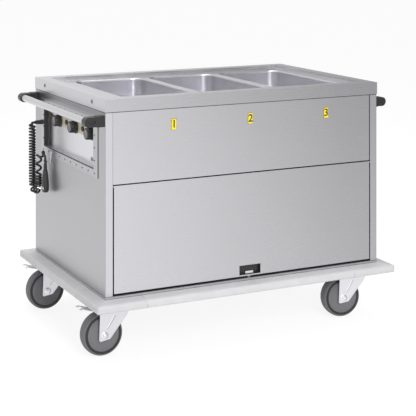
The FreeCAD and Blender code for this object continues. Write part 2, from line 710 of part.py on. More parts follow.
# Handles: a straight tube held at both ends by moulded brackets with a round nose.
for side, way, reach in (("left", -1, "left_reach"), ("right", 1, "right_reach")):
    nose = "bracket_high / 2"
    pair = []
    for end, out in (("front", -1), ("rear", 1)):
        name = f"{side}_{end}_bracket"
        bracket = new_body(name)
        arm = new_sketch(bracket, name + "_arm", "XZ_Plane")
        outline(arm, [("0", f"-{nose}"), (f"{way} * ({reach})", f"-{nose}", f"{nose} * 0.999"),
                      (f"{way} * ({reach})", nose, f"{nose} * 0.999"), ("0", nose)])
        pad(bracket, arm, "bracket_wide", middle=True)
        foot = new_sketch(bracket, name + "_foot", "YZ_Plane")
        rectangle(foot, "bracket_wide + bracket_foot_proud", "bracket_high + 2 * bracket_foot_proud",
                  f"{-out} * bracket_foot_proud / 2", "0", "2 * bracket_foot_proud")
        foot_long = "bracket_foot_long" if side == "left" else "bracket_foot_long / 3"
        pad(bracket, foot, foot_long, reverse=way < 0)
        grip = new_sketch(bracket, name + "_socket", "XZ_Plane", f"{out} * bracket_wide / 2")
        ring(grip, "handle_tube_radius", f"{way} * ({reach} - {nose})", "0")
        pocket(bracket, grip, "handle_socket_deep", reverse=out < 0)
        if side == "left":
            slot = new_sketch(bracket, name + "_slot", "XZ_Plane", f"{-out} * bracket_wide / 2")
            rectangle(slot, f"{reach} - bracket_foot_long - bracket_slot_high - {nose} / 2", "bracket_slot_high",
                      f"{way} * ({reach} + bracket_foot_long - {nose} / 2) / 2", "0",
                      "bracket_slot_high / 2 * 0.999")
            pocket(bracket, slot, "bracket_slot_deep", reverse=out > 0)
        edge_y = f"{out} * (half_deep - bracket_wide / 2 - bracket_foot_proud)"
        pair.append(place(bracket, f"body_x + {way} * half_long", edge_y, "handle_z"))
    node(group(side + "_bracket_group", pair), side + "_handle_brackets")
    tube_half = "(half_deep - bracket_wide - bracket_foot_proud + handle_socket_deep)"
    node(rod(side + "_tube", "handle_tube_radius", "2 * " + tube_half,
             (f"{way} * (half_long + {reach} - {nose})", "-" + tube_half, "handle_z"), (0, 1, 0)),
         side + "_handle_tube")


def castor(corner, side_x, side_y, turn):
    """One braked swivel castor; its bodies are drawn about the swivel axis at floor level."""
    name = "castor_" + corner
    spot = (f"body_x + {side_x} * castor_x", f"{side_y} * castor_y", "0", turn)

    fork = new_body(name + "_fork_body")
    legs = new_sketch(fork, name + "_legs", "XZ_Plane")
    outline(legs, [("-castor_trail - fork_foot", "wheel_radius - fork_foot", "fork_foot_round"),
                   ("-castor_trail + fork_foot", "wheel_radius - fork_foot + fork_foot_round",
                    "fork_foot_round"),
                   ("crown_radius - fork_foot_round", "crown_under - fork_foot", "4 * fork_foot_round"),
                   ("crown_radius", "crown_top"),
                   ("-castor_trail - 0.8 * fork_foot", "crown_top")])
    pad(fork, legs, "2 * leg_out", middle=True)
    gap = new_sketch(fork, name + "_leg_gap", "XZ_Plane")
    rectangle(gap, "4 * wheel_radius", "2 * crown_under", "0", "0")
    pocket(fork, gap, "2 * leg_in", middle=True)
    trim = new_sketch(fork, name + "_rear_trim", "XZ_Plane")
    rectangle(trim, "2 * fork_foot", "4 * crown_thick", "-castor_trail", "crown_top")
    pocket(fork, trim, "2 * leg_in", middle=True)
    head = new_sketch(fork, name + "_head", "XY_Plane", "crown_under")
    pad(fork, ring(head, "crown_radius - fork_sheet"), "head_top - crown_under")
    kingpin = new_sketch(fork, name + "_kingpin_hole", "XY_Plane", "head_top")
    pocket(fork, ring(kingpin, "kingpin_radius + turning_fit"), "2 * head_high + 2 * crown_thick")
    holes = new_sketch(fork, name + "_axle_hole", "XZ_Plane")
    ring(holes, "axle_radius", "-castor_trail", "wheel_radius")
    ring(holes, "pedal_pin_radius + turning_fit / 2", "-pedal_pivot_back", "pedal_pivot_up")
    pocket(fork, holes, "4 * leg_out", middle=True)
    place(fork, *spot)
    axle = new_body(name + "_axle_body")
    pad(axle, ring(new_sketch(axle, name + "_axle_round", "XZ_Plane"), "axle_radius",
                   "-castor_trail", "wheel_radius"), "2 * leg_out + axle_head_thick", middle=True)
    for end, lift in (("near", "leg_out"), ("far", "-leg_out")):
        head_face = new_sketch(axle, f"{name}_axle_{end}", "XZ_Plane", lift)
        sixth = [("axle_head_radius * cos(%d deg)" % a, "axle_head_radius * sin(%d deg)" % a)
                 for a in range(0, 360, 60)]
        outline(head_face, [(f"-castor_trail + {x}", f"wheel_radius + {y}") for x, y in sixth])
        pad(axle, head_face, "axle_head_thick", reverse=end == "far")
    place(axle, *spot)
    node(group(name + "_fork_group", [fork, axle]), name + "_fork")

    hub = new_body(name + "_hub_body")
    outline(new_sketch(hub, name + "_hub_section", "XY_Plane"),
            [("axle_radius + turning_fit", "-hub_long / 2"), ("hub_radius", "-hub_long / 2"),
             ("hub_radius", "-wheel_wide / 2"), ("rim_radius", "-wheel_wide / 2"),
             ("rim_radius", "wheel_wide / 2"), ("hub_radius", "wheel_wide / 2"),
             ("hub_radius", "hub_long / 2"), ("axle_radius + turning_fit", "hub_long / 2")])
    revolve(hub, hub.Group[-1], "Y_Axis")
    tyre = new_body(name + "_tyre_body")
    outline(new_sketch(tyre, name + "_tyre_section", "XY_Plane"),
            [("rim_radius", "-wheel_wide / 2"), ("wheel_radius - tread_bevel", "-wheel_wide / 2"),
             ("wheel_radius", "-wheel_wide / 2 + tread_bevel"), ("wheel_radius", "wheel_wide / 2 - tread_bevel"),
             ("wheel_radius - tread_bevel", "wheel_wide / 2"), ("rim_radius", "wheel_wide / 2")])
    revolve(tyre, tyre.Group[-1], "Y_Axis")
    for piece in (hub, tyre):
        place(piece, f"{spot[0]} - castor_trail * cos({turn} * 1 deg)",
              f"{spot[1]} - castor_trail * sin({turn} * 1 deg)", "wheel_radius", turn)
    node(hub, name + "_hub")
    node(tyre, name + "_tyre")

    pedal = new_body(name + "_pedal_body")
    side = new_sketch(pedal, name + "_pedal_section", "XZ_Plane")
    low = "pedal_pivot_up - pedal_pin_radius - pedal_sheet / 2"
    outline(side, [("-pedal_pivot_back + 2 * pedal_pin_radius", "pedal_pivot_up - pedal_sheet / 2"),
                   ("-pedal_pivot_back + 2 * pedal_pin_radius", "pedal_pivot_up + pedal_sheet / 2"),
                   ("-castor_trail - wheel_radius / 2", "pedal_pivot_up + pedal_sheet", "3 * pedal_sheet"),
                   ("-pedal_reach + 4 * pedal_sheet", "pedal_tip_up", "3 * pedal_sheet"),
                   ("-pedal_reach", "pedal_tip_up - pedal_sheet"),
                   ("-pedal_reach + pedal_sheet / 2", "pedal_tip_up - 2 * pedal_sheet"),
                   ("-pedal_reach + 4 * pedal_sheet", "pedal_tip_up - pedal_sheet", "2 * pedal_sheet"),
                   ("-castor_trail - wheel_radius / 2", "pedal_pivot_up", "4 * pedal_sheet")])
    pad(pedal, side, "pedal_wide", middle=True)
    notch = new_sketch(pedal, name + "_pedal_notch", "XY_Plane", "pedal_tip_up + pedal_sheet")
    rectangle(notch, "2 * pedal_notch_long", "pedal_notch_wide", "-pedal_reach", "0")
    pocket(pedal, notch, "6 * pedal_sheet")
    cheeks = new_sketch(pedal, name + "_pedal_cheeks", "XZ_Plane")
    outline(cheeks, [("-pedal_pivot_back + 2 * pedal_pin_radius", low),
                     ("-pedal_pivot_back + 2 * pedal_pin_radius", "pedal_pivot_up + pedal_sheet / 2"),
                     ("-castor_trail - wheel_radius / 2", "pedal_pivot_up + pedal_sheet"),
                     ("-castor_trail - wheel_radius / 2", "pedal_pivot_up"),
                     ("-pedal_pivot_back - 2 * pedal_pin_radius", low)])
    pad(pedal, cheeks, "pedal_wide", middle=True)
    clear = new_sketch(pedal, name + "_pedal_clear", "XZ_Plane")
    rectangle(clear, "4 * pedal_pin_radius + wheel_radius / 2", "4 * pedal_pin_radius",
              "-pedal_pivot_back - pedal_pin_radius", "pedal_pivot_up - pedal_sheet / 2 - 2 * pedal_pin_radius")
    pocket(pedal, clear, "pedal_wide - 2 * pedal_sheet", middle=True)
    pin = new_sketch(pedal, name + "_pedal_pin", "XZ_Plane")
    pad(pedal, ring(pin, "pedal_pin_radius", "-pedal_pivot_back", "pedal_pivot_up"),
        "2 * leg_out + pedal_sheet", middle=True)
    place(pedal, *spot)
    node(pedal, name + "_pedal")

    plate = new_body(name + "_plate_body")
    flat = new_sketch(plate, name + "_plate_outline", "XY_Plane", "plate_under")
    pad(plate, rectangle(flat, "plate_long", "plate_wide", corner="plate_corner"), "plate_thick")
    race = new_sketch(plate, name + "_race", "XY_Plane", "plate_under")
    pad(plate, ring(race, "race_radius"), "race_high", reverse=True)
    stem = new_sketch(plate, name + "_kingpin", "XY_Plane", "plate_under")
    pad(plate, ring(stem, "kingpin_radius"), "plate_under - crown_under", reverse=True)
    return place(plate, *spot[:3])


castor_plates = [castor(*each) for each in (
    ("front_left", -1, -1, "turn_front_left"), ("front_right", 1, -1, "turn_front_right"),
    ("rear_left", -1, 1, "turn_rear_left"), ("rear_right", 1, 1, "turn_rear_right"))]
node(group("castor_plate_group", castor_plates), "castor_plates")

# Drain: a stub under each well, a manifold and a down pipe with a quarter-turn valve. The
# stubs are drawn closed, as with their plugs in, and the down pipe is open below.
pipes = [rod(f"drain_stub_{i + 1}", "drain_radius", "drain_below_well + well_wall",
             (well_x(i), "drain_y", "manifold_z")) for i in range(WELLS)]
first_well, last_well = well_x(0), "drain_x"
pipes.append(rod("drain_manifold", "drain_radius", f"{last_well} - ({first_well}) + drain_radius",
                 (f"{first_well} - drain_radius", "drain_y", "manifold_z"), (1, 0, 0)))
pipes.append(rod("drain_across", "drain_radius", "drain_down_y - drain_y",
                 ("drain_x", "drain_y", "manifold_z"), (0, 1, 0)))
pipes.append(rod("drain_down", "drain_radius", "manifold_z - chassis_up + drain_under",
                 ("drain_x", "drain_down_y", "chassis_up - drain_under")))
pipe_run = fuse("drain_run", *pipes)
outflow = rod("drain_down_bore", "drain_radius - drain_wall", "manifold_z - chassis_up + drain_under",
              ("drain_x", "drain_down_y", "chassis_up - 2 * drain_under"))
node(cut("drain_cut", pipe_run, outflow), "drain_pipe")
valve_body = rod("valve_body", "valve_radius", "valve_high", ("drain_x", "drain_down_y", "valve_up"))
valve_neck = rod("valve_neck", "valve_neck_radius", "valve_radius + valve_neck_long",
                 ("drain_x", "drain_down_y", "valve_up + valve_high / 2"), (0, -1, 0))
valve_bore = rod("valve_bore", "drain_radius", "2 * valve_high",
                 ("drain_x", "drain_down_y", "valve_up - valve_high / 2"))
node(cut("valve_cut", fuse("valve_fuse", valve_body, valve_neck), valve_bore), "drain_valve")
lever_y = "drain_down_y - valve_radius - valve_neck_long - turning_fit"
lever_hub = rod("lever_hub", "lever_wide / 2", "lever_thick",
                ("drain_x", lever_y, "valve_up + valve_high / 2"), (0, -1, 0))
lever_bar = block("lever_bar", ("lever_long", "lever_thick", "lever_wide"),
                  ("drain_x - lever_long", f"{lever_y} - lever_thick",
                   "valve_up + valve_high / 2 - lever_wide / 2"))
node(fuse("lever_fuse", lever_hub, lever_bar), "drain_lever")

# Mains lead: a gland in the end panel, the curly cord, and an angled plug on its hook.
gland_flange = rod("gland_flange", "gland_radius", "gland_long / 2",
                   ("cover_face", "gland_y", "gland_z"), (-1, 0, 0))
gland_neck = rod("gland_neck", "gland_neck_radius", "gland_long / 2",
                 ("cover_face - gland_long / 2", "gland_y", "gland_z"), (-1, 0, 0))
gland_thread = rod("gland_thread", "gland_tip_radius", "3 * panel_sheet + cover_sheet",
                   ("cover_face", "gland_y", "gland_z"), (1, 0, 0))
node(fuse("gland_fuse", gland_flange, gland_neck, gland_thread), "cord_gland")


def axis_point(travel, down, bend):
    """Where the coil's axis is after some travel: straight down, round a half circle, straight up."""
    first = V(number("body_x - half_long - coil_out"), number("gland_y - coil_radius"), number("gland_z"))
    across = V(number("coil_step_out"), -number("coil_step_front"), 0)
    radius = across.Length / 2
    sideways = across.normalize()
    if travel < down:
        return first + V(0, 0, -travel), V(0, 0, -1), sideways
    if travel < down + bend:
        angle = (travel - down) / radius
        centre = first + V(0, 0, -down) + sideways * radius
        spot = centre - sideways * radius * math.cos(angle) + V(0, 0, -radius * math.sin(angle))
        heading = sideways * math.sin(angle) + V(0, 0, -math.cos(angle))
        return spot, heading, sideways
    spot = first + sideways * 2 * radius + V(0, 0, travel - bend - 2 * down)
    return spot, V(0, 0, 1), sideways


def cord_route():
    """Points and headings of the cord's centre line, from the gland to the plug's neck."""
    bend = math.pi * math.hypot(number("coil_step_out"), number("coil_step_front")) / 2
    loose = LOOSE_TURNS * (FIRST_PITCH + CLOSE_PITCH) / 2
    down = loose + CLOSE_TURNS * CLOSE_PITCH
    close_up = RETURN_TURNS * CLOSE_PITCH
    gland_tip = V(number("body_x + cover_face - gland_long"), number("gland_y"), number("gland_z"))
    neck = V(number("body_x + plug_x"), number("plug_y"), number("plug_top"))
    arch = number("coil_radius") * 5 / 3
    foot, _, sideways = axis_point(down + bend, down, bend)
    rise = neck.z + arch - foot.z - close_up
    normal = V(-sideways.y, sideways.x, 0)
    # the last turn ends where its heading points over the plug
    toward = V(neck.x - foot.x, neck.y - foot.y, 0)
    swing = math.acos(number("coil_radius") / toward.Length)
    leave = math.atan2(toward.y, toward.x) + swing
    start = math.atan2(-normal.cross(V(0, 0, -1)).dot(V(0, 1, 0)), normal.dot(V(0, 1, 0)))
    whole = LOOSE_TURNS + CLOSE_TURNS + BEND_TURNS + RETURN_TURNS + RISING_TURNS
    wanted = leave - math.atan2(normal.y, normal.x)
    part_turn = ((start - wanted) / (2 * math.pi) - whole) % 1
    rising = RISING_TURNS + part_turn

    def travelled(turn):
        if turn < LOOSE_TURNS:
            return turn * FIRST_PITCH - turn * turn * (FIRST_PITCH - CLOSE_PITCH) / (2 * LOOSE_TURNS)
        turn -= LOOSE_TURNS
        if turn < CLOSE_TURNS:
            return loose + turn * CLOSE_PITCH
        turn -= CLOSE_TURNS
        if turn < BEND_TURNS:
            return down + bend * turn / BEND_TURNS
        turn -= BEND_TURNS
        if turn < RETURN_TURNS:
            return down + bend + turn * CLOSE_PITCH
        turn -= RETURN_TURNS
        return down + bend + close_up + rise * turn / rising

    def on_coil(turn):
        spot, heading, _ = axis_point(travelled(turn), down, bend)
        angle = start - 2 * math.pi * turn
        outward = normal * math.cos(angle) + heading.cross(normal) * math.sin(angle)
        return spot + outward * number("coil_radius")

    def heading_at(turn):
        step = 0.002
        return (on_coil(turn + step) - on_coil(turn - step)).normalize()

    straight = 2 * number("cord_radius")
    route = [(gland_tip, V(-1, 0, 0)), (gland_tip + V(-straight, 0, 0), V(-1, 0, 0))]
    total = whole + part_turn
    marks = round((total - 0.5) * BIARCS_PER_TURN)
    for i in range(marks + 1):
        turn = 0.25 + (total - 0.5) * i / marks
        route.append((on_coil(turn), heading_at(turn)))
    last = on_coil(total - 0.01)
    over = V(neck.x - last.x, neck.y - last.y, 0).normalize()
    route.append((V(neck.x, neck.y, neck.z + arch) - over * arch, over))
    route.append((neck + V(0, 0, straight), V(0, 0, -1)))
    route.append((neck, V(0, 0, -1)))
    return route


def arc_from(start, corner, end):
    """The arc that touches both legs of a corner, or a straight line where it has no bend."""
    middle = (start + end) / 2
    height = (corner - middle).Length
    half = (end - start).Length / 2
    if height < half * 1e-4:
        return Part.LineSegment(start, end).toShape()
    lean = math.atan2(height, half)
    sagitta = half / math.sin(lean) * (1 - math.cos(lean))
    return Part.Arc(start, middle + (corner - middle) / height * sagitta, end).toShape()


def biarc(start, heading, end, arrival):
    """Two arcs that leave and arrive along given headings."""
    chord = end - start
    both = heading + arrival
    spread = 2 * (1 - heading.dot(arrival))
    if spread < 1e-9:
        leg = chord.dot(chord) / (4 * chord.dot(arrival))
        if (chord.normalize() - heading).Length < 1e-6:
            return [Part.LineSegment(start, end).toShape()]
    else:
        leg = (-chord.dot(both) + math.sqrt(chord.dot(both) ** 2 + spread * chord.dot(chord))) / spread
    first = start + heading * leg
    second = end - arrival * leg
    joint = (first + second) / 2
    return [arc_from(start, first, joint), arc_from(joint, second, end)]


def self_gap(edges):
    """The least gap between stretches of the tube that lie more than half a turn apart."""
    points, along, total = [], [], 0
    for edge in edges:
        steps = max(2, int(edge.Length / 1.5))
        for spot in edge.discretize(steps + 1)[:-1]:
            points.append(spot)
        for i in range(steps):
            along.append(total + edge.Length * i / steps)
        total += edge.Length
    apart = math.pi * number("coil_radius")
    least = 1e9
    cells = {}
    size = 10.0
    for i, spot in enumerate(points):
        key = (int(spot.x // size), int(spot.y // size), int(spot.z // size))
        for dx in (-1, 0, 1):
            for dy in (-1, 0, 1):
                for dz in (-1, 0, 1):
                    for j in cells.get((key[0] + dx, key[1] + dy, key[2] + dz), ()):
                        if along[i] - along[j] > apart:
                            least = min(least, (points[j] - spot).Length)
        cells.setdefault(key, []).append(i)
    return least - 2 * number("cord_radius")


route = cord_route()
cord_edges = []
for (start, heading), (end, arrival) in zip(route, route[1:]):
    cord_edges += biarc(start, heading, end, arrival)
path = Part.Wire(cord_edges)
first_spot, first_heading = route[0]
section = [first_spot + V(0, math.cos(a), math.sin(a)) * number("cord_radius")
           for a in (2 * math.pi * i / CORD_SIDES for i in range(CORD_SIDES))]
profile = Part.makePolygon(section + [section[0]])
tube = path.makePipeShell([profile], True, False)
section_area = CORD_SIDES / 2 * number("cord_radius") ** 2 * math.sin(2 * math.pi / CORD_SIDES)
print("cord centre line", round(path.Length, 1), "volume ratio",
      round(tube.Volume / (section_area * path.Length), 4), "least gap", round(self_gap(cord_edges), 2))
cord = doc.addObject("Part::Feature", "cord_feature")
cord.Shape = tube
node(cord, "curly_cord")

plug = new_body("plug_body")
side_view = new_sketch(plug, "plug_side", "YZ_Plane")
plug_grip = "(plug_top - plug_z)"
outline(side_view, [("-plug_head_radius", "0", "plug_head_radius / 4"),
                    ("-0.7 * plug_head_radius", "-0.7 * plug_head_radius", "plug_head_radius / 2"),
                    ("0", "-plug_head_radius", "plug_head_radius / 2"),
                    ("0.7 * plug_head_radius", "-0.7 * plug_head_radius", "plug_head_radius / 2"),
                    ("plug_head_radius", "0", "plug_head_radius / 2"),
                    ("0.75 * plug_head_radius", f"0.4 * {plug_grip}", "plug_head_radius"),
                    ("plug_neck_radius", f"{plug_grip}"), ("-plug_neck_radius", f"{plug_grip}"),
                    ("-0.75 * plug_head_radius", f"0.4 * {plug_grip}", "plug_head_radius")])
pad(plug, side_view, "plug_head_thick", middle=True)
neck_cut = new_sketch(plug, "plug_neck_cut", "XZ_Plane")
for way in (-1, 1):
    outline(neck_cut, [(f"{way} * plug_neck_radius", f"1.1 * {plug_grip}"),
                       (f"{way} * plug_neck_radius", f"0.7 * {plug_grip}"),
                       (f"{way} * plug_head_thick / 2", f"0.45 * {plug_grip}"),
                       (f"{way} * plug_head_thick", f"0.45 * {plug_grip}"),
                       (f"{way} * plug_head_thick", f"1.1 * {plug_grip}")])
pocket(plug, neck_cut, "4 * plug_head_radius", middle=True)
for i, way in enumerate((-1, 1)):
    tip = new_sketch(plug, f"plug_pin_{i + 1}", "YZ_Plane", "-plug_head_thick / 2 - pin_long")
    pad(plug, ring(tip, "pin_radius", f"{way} * pin_pitch / 2", "0"), "pin_long + pin_radius")
place(plug, "body_x + plug_x", "plug_y", "plug_z")
node(plug, "mains_plug")

hook_ring_z = "(plug_top - hook_below_neck)"
hook_face = "(cover_face - hook_thick)"
strap = block("hook_strap", ("hook_thick", "hook_wide", "hook_up + hook_thick"),
              (hook_face, "plug_y - hook_wide / 2", hook_ring_z))
arm = block("hook_arm", ("plug_out - cover_sheet", "hook_wide", "hook_thick"),
            ("plug_x", "plug_y - hook_wide / 2", hook_ring_z))
collar = rod("hook_collar", "plug_neck_radius + hook_fit + hook_rim", "hook_thick", ("plug_x", "plug_y", hook_ring_z))
collar_hole = block("hook_collar_hole", ("2 * plug_neck_radius + 2 * hook_fit", "2 * plug_head_radius",
                                         "3 * hook_thick"),
                    ("plug_x - plug_neck_radius - hook_fit", "plug_y - plug_head_radius",
                     f"{hook_ring_z} - hook_thick"))
node(cut("hook_cut", fuse("hook_fuse", strap, arm, collar), collar_hole), "plug_hook")

doc.recompute()
faults = [thing.Name for thing in doc.Objects if {"Invalid", "Error"} & set(thing.State)]
for thing in doc.Objects:
    if thing.TypeId in ("PartDesign::Pocket", "PartDesign::Groove") and thing.BaseFeature:
        if thing.Shape.Volume > thing.BaseFeature.Shape.Volume - 0.01:
            faults.append(thing.Name + " cuts nothing")
for thing in nodes:
    if thing.Shape.isNull() or not thing.Shape.isValid() or not thing.Shape.Solids:
        faults.append(thing.Label + " has no valid solid")
if faults:
    raise SystemExit("faults: " + ", ".join(faults))
os.makedirs("parts", exist_ok=True)
for thing in nodes:
    thing.Shape.exportStep(f"parts/{thing.Label}.step")
print(len(nodes), "sub-parts,", sum(len(thing.Shape.Solids) for thing in nodes), "solids")
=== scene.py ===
import json
import math

import bmesh
import bpy
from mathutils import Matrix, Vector


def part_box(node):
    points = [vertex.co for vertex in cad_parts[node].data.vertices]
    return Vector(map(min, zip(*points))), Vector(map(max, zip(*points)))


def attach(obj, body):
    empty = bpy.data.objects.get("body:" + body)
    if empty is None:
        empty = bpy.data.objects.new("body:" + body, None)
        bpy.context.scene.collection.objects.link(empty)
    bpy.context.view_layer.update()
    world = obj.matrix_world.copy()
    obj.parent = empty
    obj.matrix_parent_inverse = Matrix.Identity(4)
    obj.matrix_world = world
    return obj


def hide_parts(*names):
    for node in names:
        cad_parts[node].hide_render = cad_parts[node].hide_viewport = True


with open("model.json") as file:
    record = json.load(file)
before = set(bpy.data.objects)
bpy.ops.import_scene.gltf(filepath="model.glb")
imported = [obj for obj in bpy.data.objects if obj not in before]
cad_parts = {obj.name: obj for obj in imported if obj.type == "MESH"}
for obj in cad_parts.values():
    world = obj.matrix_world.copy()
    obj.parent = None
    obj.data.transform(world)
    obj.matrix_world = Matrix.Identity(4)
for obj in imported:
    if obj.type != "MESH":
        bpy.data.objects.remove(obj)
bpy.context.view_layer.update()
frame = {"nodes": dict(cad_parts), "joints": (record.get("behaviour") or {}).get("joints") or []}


# ---- Viewpoint ----
# The trolley is seen from its serving side, a little to the left, by a level camera
# above the worktop. Its plate is shifted, so upright edges stay upright in the picture.
PHOTO_WIDTH = 416
FOCAL_PIXELS = 1151.7
eye = bpy.data.cameras.new("eye")
eye.sensor_width = 36
eye.lens = FOCAL_PIXELS / PHOTO_WIDTH * eye.sensor_width
eye.shift_x, eye.shift_y = 0.2613, -0.6640
eye.clip_end = 90
viewer = bpy.data.objects.new("viewer", eye)
viewer.location = (-2.2798, -4.1504, 1.5507)
viewer.rotation_euler = (math.radians(90), 0, -0.414892)
bpy.context.scene.collection.objects.link(viewer)
bpy.context.scene.camera = viewer
bpy.context.scene.view_settings.view_transform = "Standard"


# ---- Studio ----
# A white room with soft boxes in front and overhead. Polished sheet sees a room that
# is darker to the right. The node graphs of the room and of every finish start here.
class Wire:
    """A socket that gives a value; arithmetic on it adds Math nodes."""

    def __init__(self, graph, socket):
        self.graph, self.socket = graph, socket

    def worked(self, operation, first, second):
        return self.graph.add("ShaderNodeMath", {"operation": operation}, first, second)

    def __add__(self, other):
        return self.worked("ADD", self, other)

    def __sub__(self, other):
        return self.worked("SUBTRACT", self, other)

    def __rsub__(self, other):
        return self.worked("SUBTRACT", other, self)

    def __mul__(self, other):
        return self.worked("MULTIPLY", self, other)

    def __gt__(self, other):
        return self.worked("GREATER_THAN", self, other)

    __radd__ = __add__
    __rmul__ = __mul__


class Graph:
    """The nodes of one material or of the world."""

    def __init__(self, tree):
        self.tree = tree

    def add(self, kind, settings, *values, output=0, **named):
        """A node of a type, its settings, then values or wires for its sockets, in order or by name."""
        node = self.tree.nodes.new(kind)
        for name, value in settings.items():
            setattr(node, name, value)
        for key, value in [*enumerate(values), *named.items()]:
            self.join(value, node.inputs[key.replace("_", " ") if isinstance(key, str) else key])
        return Wire(self, node.outputs[output])

    def join(self, value, socket):
        """Give a socket a wire or a plain value."""
        if isinstance(value, Wire):
            self.tree.links.new(value.socket, socket)
        elif value is not None:
            socket.default_value = value


room = bpy.data.worlds.new("studio")
room.use_nodes = True
bpy.context.scene.world = room
sky = Graph(room.node_tree)
to_eye = sky.add("ShaderNodeLightPath", {}, output=0)
in_gloss = sky.add("ShaderNodeLightPath", {}, output=3)
through = sky.add("ShaderNodeLightPath", {}, output=6)
heading = sky.add("ShaderNodeTexCoord", {}, output=0)
toward_right = sky.add("ShaderNodeSeparateXYZ", {}, heading, output=0)
DARKENS_FROM, DARKENS_TO = 0.26, 0.70
LEFT_GLOSS, RIGHT_GLOSS = 1.06, 0.30
gloss_level = sky.add("ShaderNodeMapRange", {"interpolation_type": "SMOOTHSTEP"}, toward_right,
                      DARKENS_FROM, DARKENS_TO, LEFT_GLOSS, RIGHT_GLOSS)
FILL = 0.52
other_rays = 1 - (to_eye + in_gloss + through > 0.5)
room_level = to_eye + through + in_gloss * (1 - to_eye) * gloss_level + other_rays * FILL
background = room.node_tree.nodes["Background"]
background.inputs["Color"].default_value = (1, 1, 1, 1)
sky.join(room_level, background.inputs["Strength"])


def soft_box(name, spot, aim, size, power):
    """A square lamp box on its stand."""
    light = bpy.data.lights.new(name, "AREA")
    light.size = size
    light.energy = power
    stand = bpy.data.objects.new(name, light)
    stand.location = spot
    stand.rotation_euler = (Vector(aim) - Vector(spot)).to_track_quat("-Z", "Y").to_euler()
    bpy.context.scene.collection.objects.link(stand)


soft_box("front_box", (-0.6, -4.8, 3.0), (0.0, -0.3, 0.5), 2.6, 150)
soft_box("top_box", (0.0, 0.6, 4.2), (0.0, 0.0, 0.9), 2.6, 95)


# ---- Floor ----
# The pale studio floor that the castors stand on, which takes their soft shadows.
# Where the steel mirrors it, it darkens to the right as the room does.
class Finish(Graph):
    """One material of the trolley or of the studio."""

    def __init__(self, name, colour, roughness, metallic=0.0):
        self.material = bpy.data.materials.new(name)
        self.material.use_nodes = True
        super().__init__(self.material.node_tree)
        self.shader = self.tree.nodes["Principled BSDF"]
        self.feed(Base_Color=(*colour, 1), Roughness=roughness, Metallic=metallic)

    def feed(self, **sockets):
        """Lead wires or values into the shader's own sockets."""
        for name, value in sockets.items():
            self.join(value, self.shader.inputs[name.replace("_", " ")])

    def place(self, *stretch):
        """Where on the piece a point lies, in metres, stretched along each axis."""
        spot = self.add("ShaderNodeTexCoord", {}, output=3)
        return self.add("ShaderNodeVectorMath", {"operation": "MULTIPLY"}, spot, stretch)

    def noise(self, spot, scale, detail=2.0):
        """Smooth noise from 0 to 1."""
        return self.add("ShaderNodeTexNoise", {}, Vector=spot, Scale=scale, Detail=detail)

    def mix(self, amount, first, second):
        """Blend two colours, each given as red, green and blue."""
        blend = self.add("ShaderNodeMix", {"data_type": "RGBA"}, amount, output=2)
        for index, colour in ((6, first), (7, second)):
            self.join((*colour, 1), blend.socket.node.inputs[index])
        return blend

    def bump(self, height, strength, distance, normal=None):
        """Turn a height in metres into a normal."""
        return self.add("ShaderNodeBump", {}, Height=height, Strength=strength, Distance=distance,
                        Normal=normal)

    def soft_edge(self, radius):
        """The normal of a bend or moulded edge, where the solid's edge is sharp."""
        return self.add("ShaderNodeBevel", {"samples": 4}, Radius=radius)


FLOOR_HALF = 45.0
WHITE_TO_EYE = 1.08
SEEN_SHARE, GLOSS_SHARE = 0.8, 0.75
DARKEST_AT, PALEST_AT = -0.68, -0.36
DARK_FLOOR, PALE_FLOOR = 0.28, 1.28
floor_finish = Finish("studio_floor", (0.93, 0.93, 0.93), 0.9)
seen = floor_finish.add("ShaderNodeLightPath", {}, output=0)
glossed = floor_finish.add("ShaderNodeLightPath", {}, output=3)
looked_along = floor_finish.add("ShaderNodeNewGeometry", {}, output=4)
from_right = floor_finish.add("ShaderNodeSeparateXYZ", {}, looked_along, output=0)
in_steel = floor_finish.add("ShaderNodeMapRange", {"interpolation_type": "SMOOTHSTEP"}, from_right,
                            DARKEST_AT, PALEST_AT, DARK_FLOOR, PALE_FLOOR)
lit = floor_finish.add("ShaderNodeEmission", {}, (1, 1, 1, 1), seen * WHITE_TO_EYE + (1 - seen) * in_steel)
shown = floor_finish.add("ShaderNodeMixShader", {}, seen * SEEN_SHARE + glossed * (1 - seen) * GLOSS_SHARE,
                         Wire(floor_finish, floor_finish.shader.outputs[0]), lit)
floor_finish.join(shown, floor_finish.tree.nodes["Material Output"].inputs["Surface"])
floor_mesh = bpy.data.meshes.new("floor")
floor_corners = [(x * FLOOR_HALF, y * FLOOR_HALF, 0) for x, y in ((-1, -1), (1, -1), (1, 1), (-1, 1))]
floor_mesh.from_pydata(floor_corners, [], [(0, 1, 2, 3)])
floor_mesh.materials.append(floor_finish.material)
floor = bpy.data.objects.new("floor", floor_mesh)
bpy.context.scene.collection.objects.link(floor)


# ---- Chassis and floors ----
# Grey painted channels and rails under the cabinet carry the castors. Plain sheets
# close the cupboard below and the space of the wells above it.
def dress(finish, *names):
    """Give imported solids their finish."""
    for name in names:
        solid = frame["nodes"][name]
        solid.data.materials.clear()
        solid.data.materials.append(finish.material)


def moulded(name, colour, rough, texture=0.00008, scale=1800.0):
    """Moulded or painted skin with a fine spark texture and a little wear."""
    skin = Finish(name, colour, rough)
    fine = skin.noise(skin.place(1.0, 1.0, 1.0), scale, 1.0)
    wear = skin.noise(skin.place(1.0, 1.0, 1.0), 22.0, 3.0)
    skin.feed(Base_Color=skin.mix(wear, colour, [channel * 1.12 + 0.006 for channel in colour]),
              Roughness=rough - 0.05 + wear * 0.1,
              Normal=skin.bump(fine, 0.6, texture, skin.soft_edge(0.001)))
    return skin


# steps of the grain's noise in a metre, along the grain and across it
GRAIN_ALONG, GRAIN_ACROSS = 14.0, 900.0
STEEL_TINT = (1.0, 0.992, 1.032)


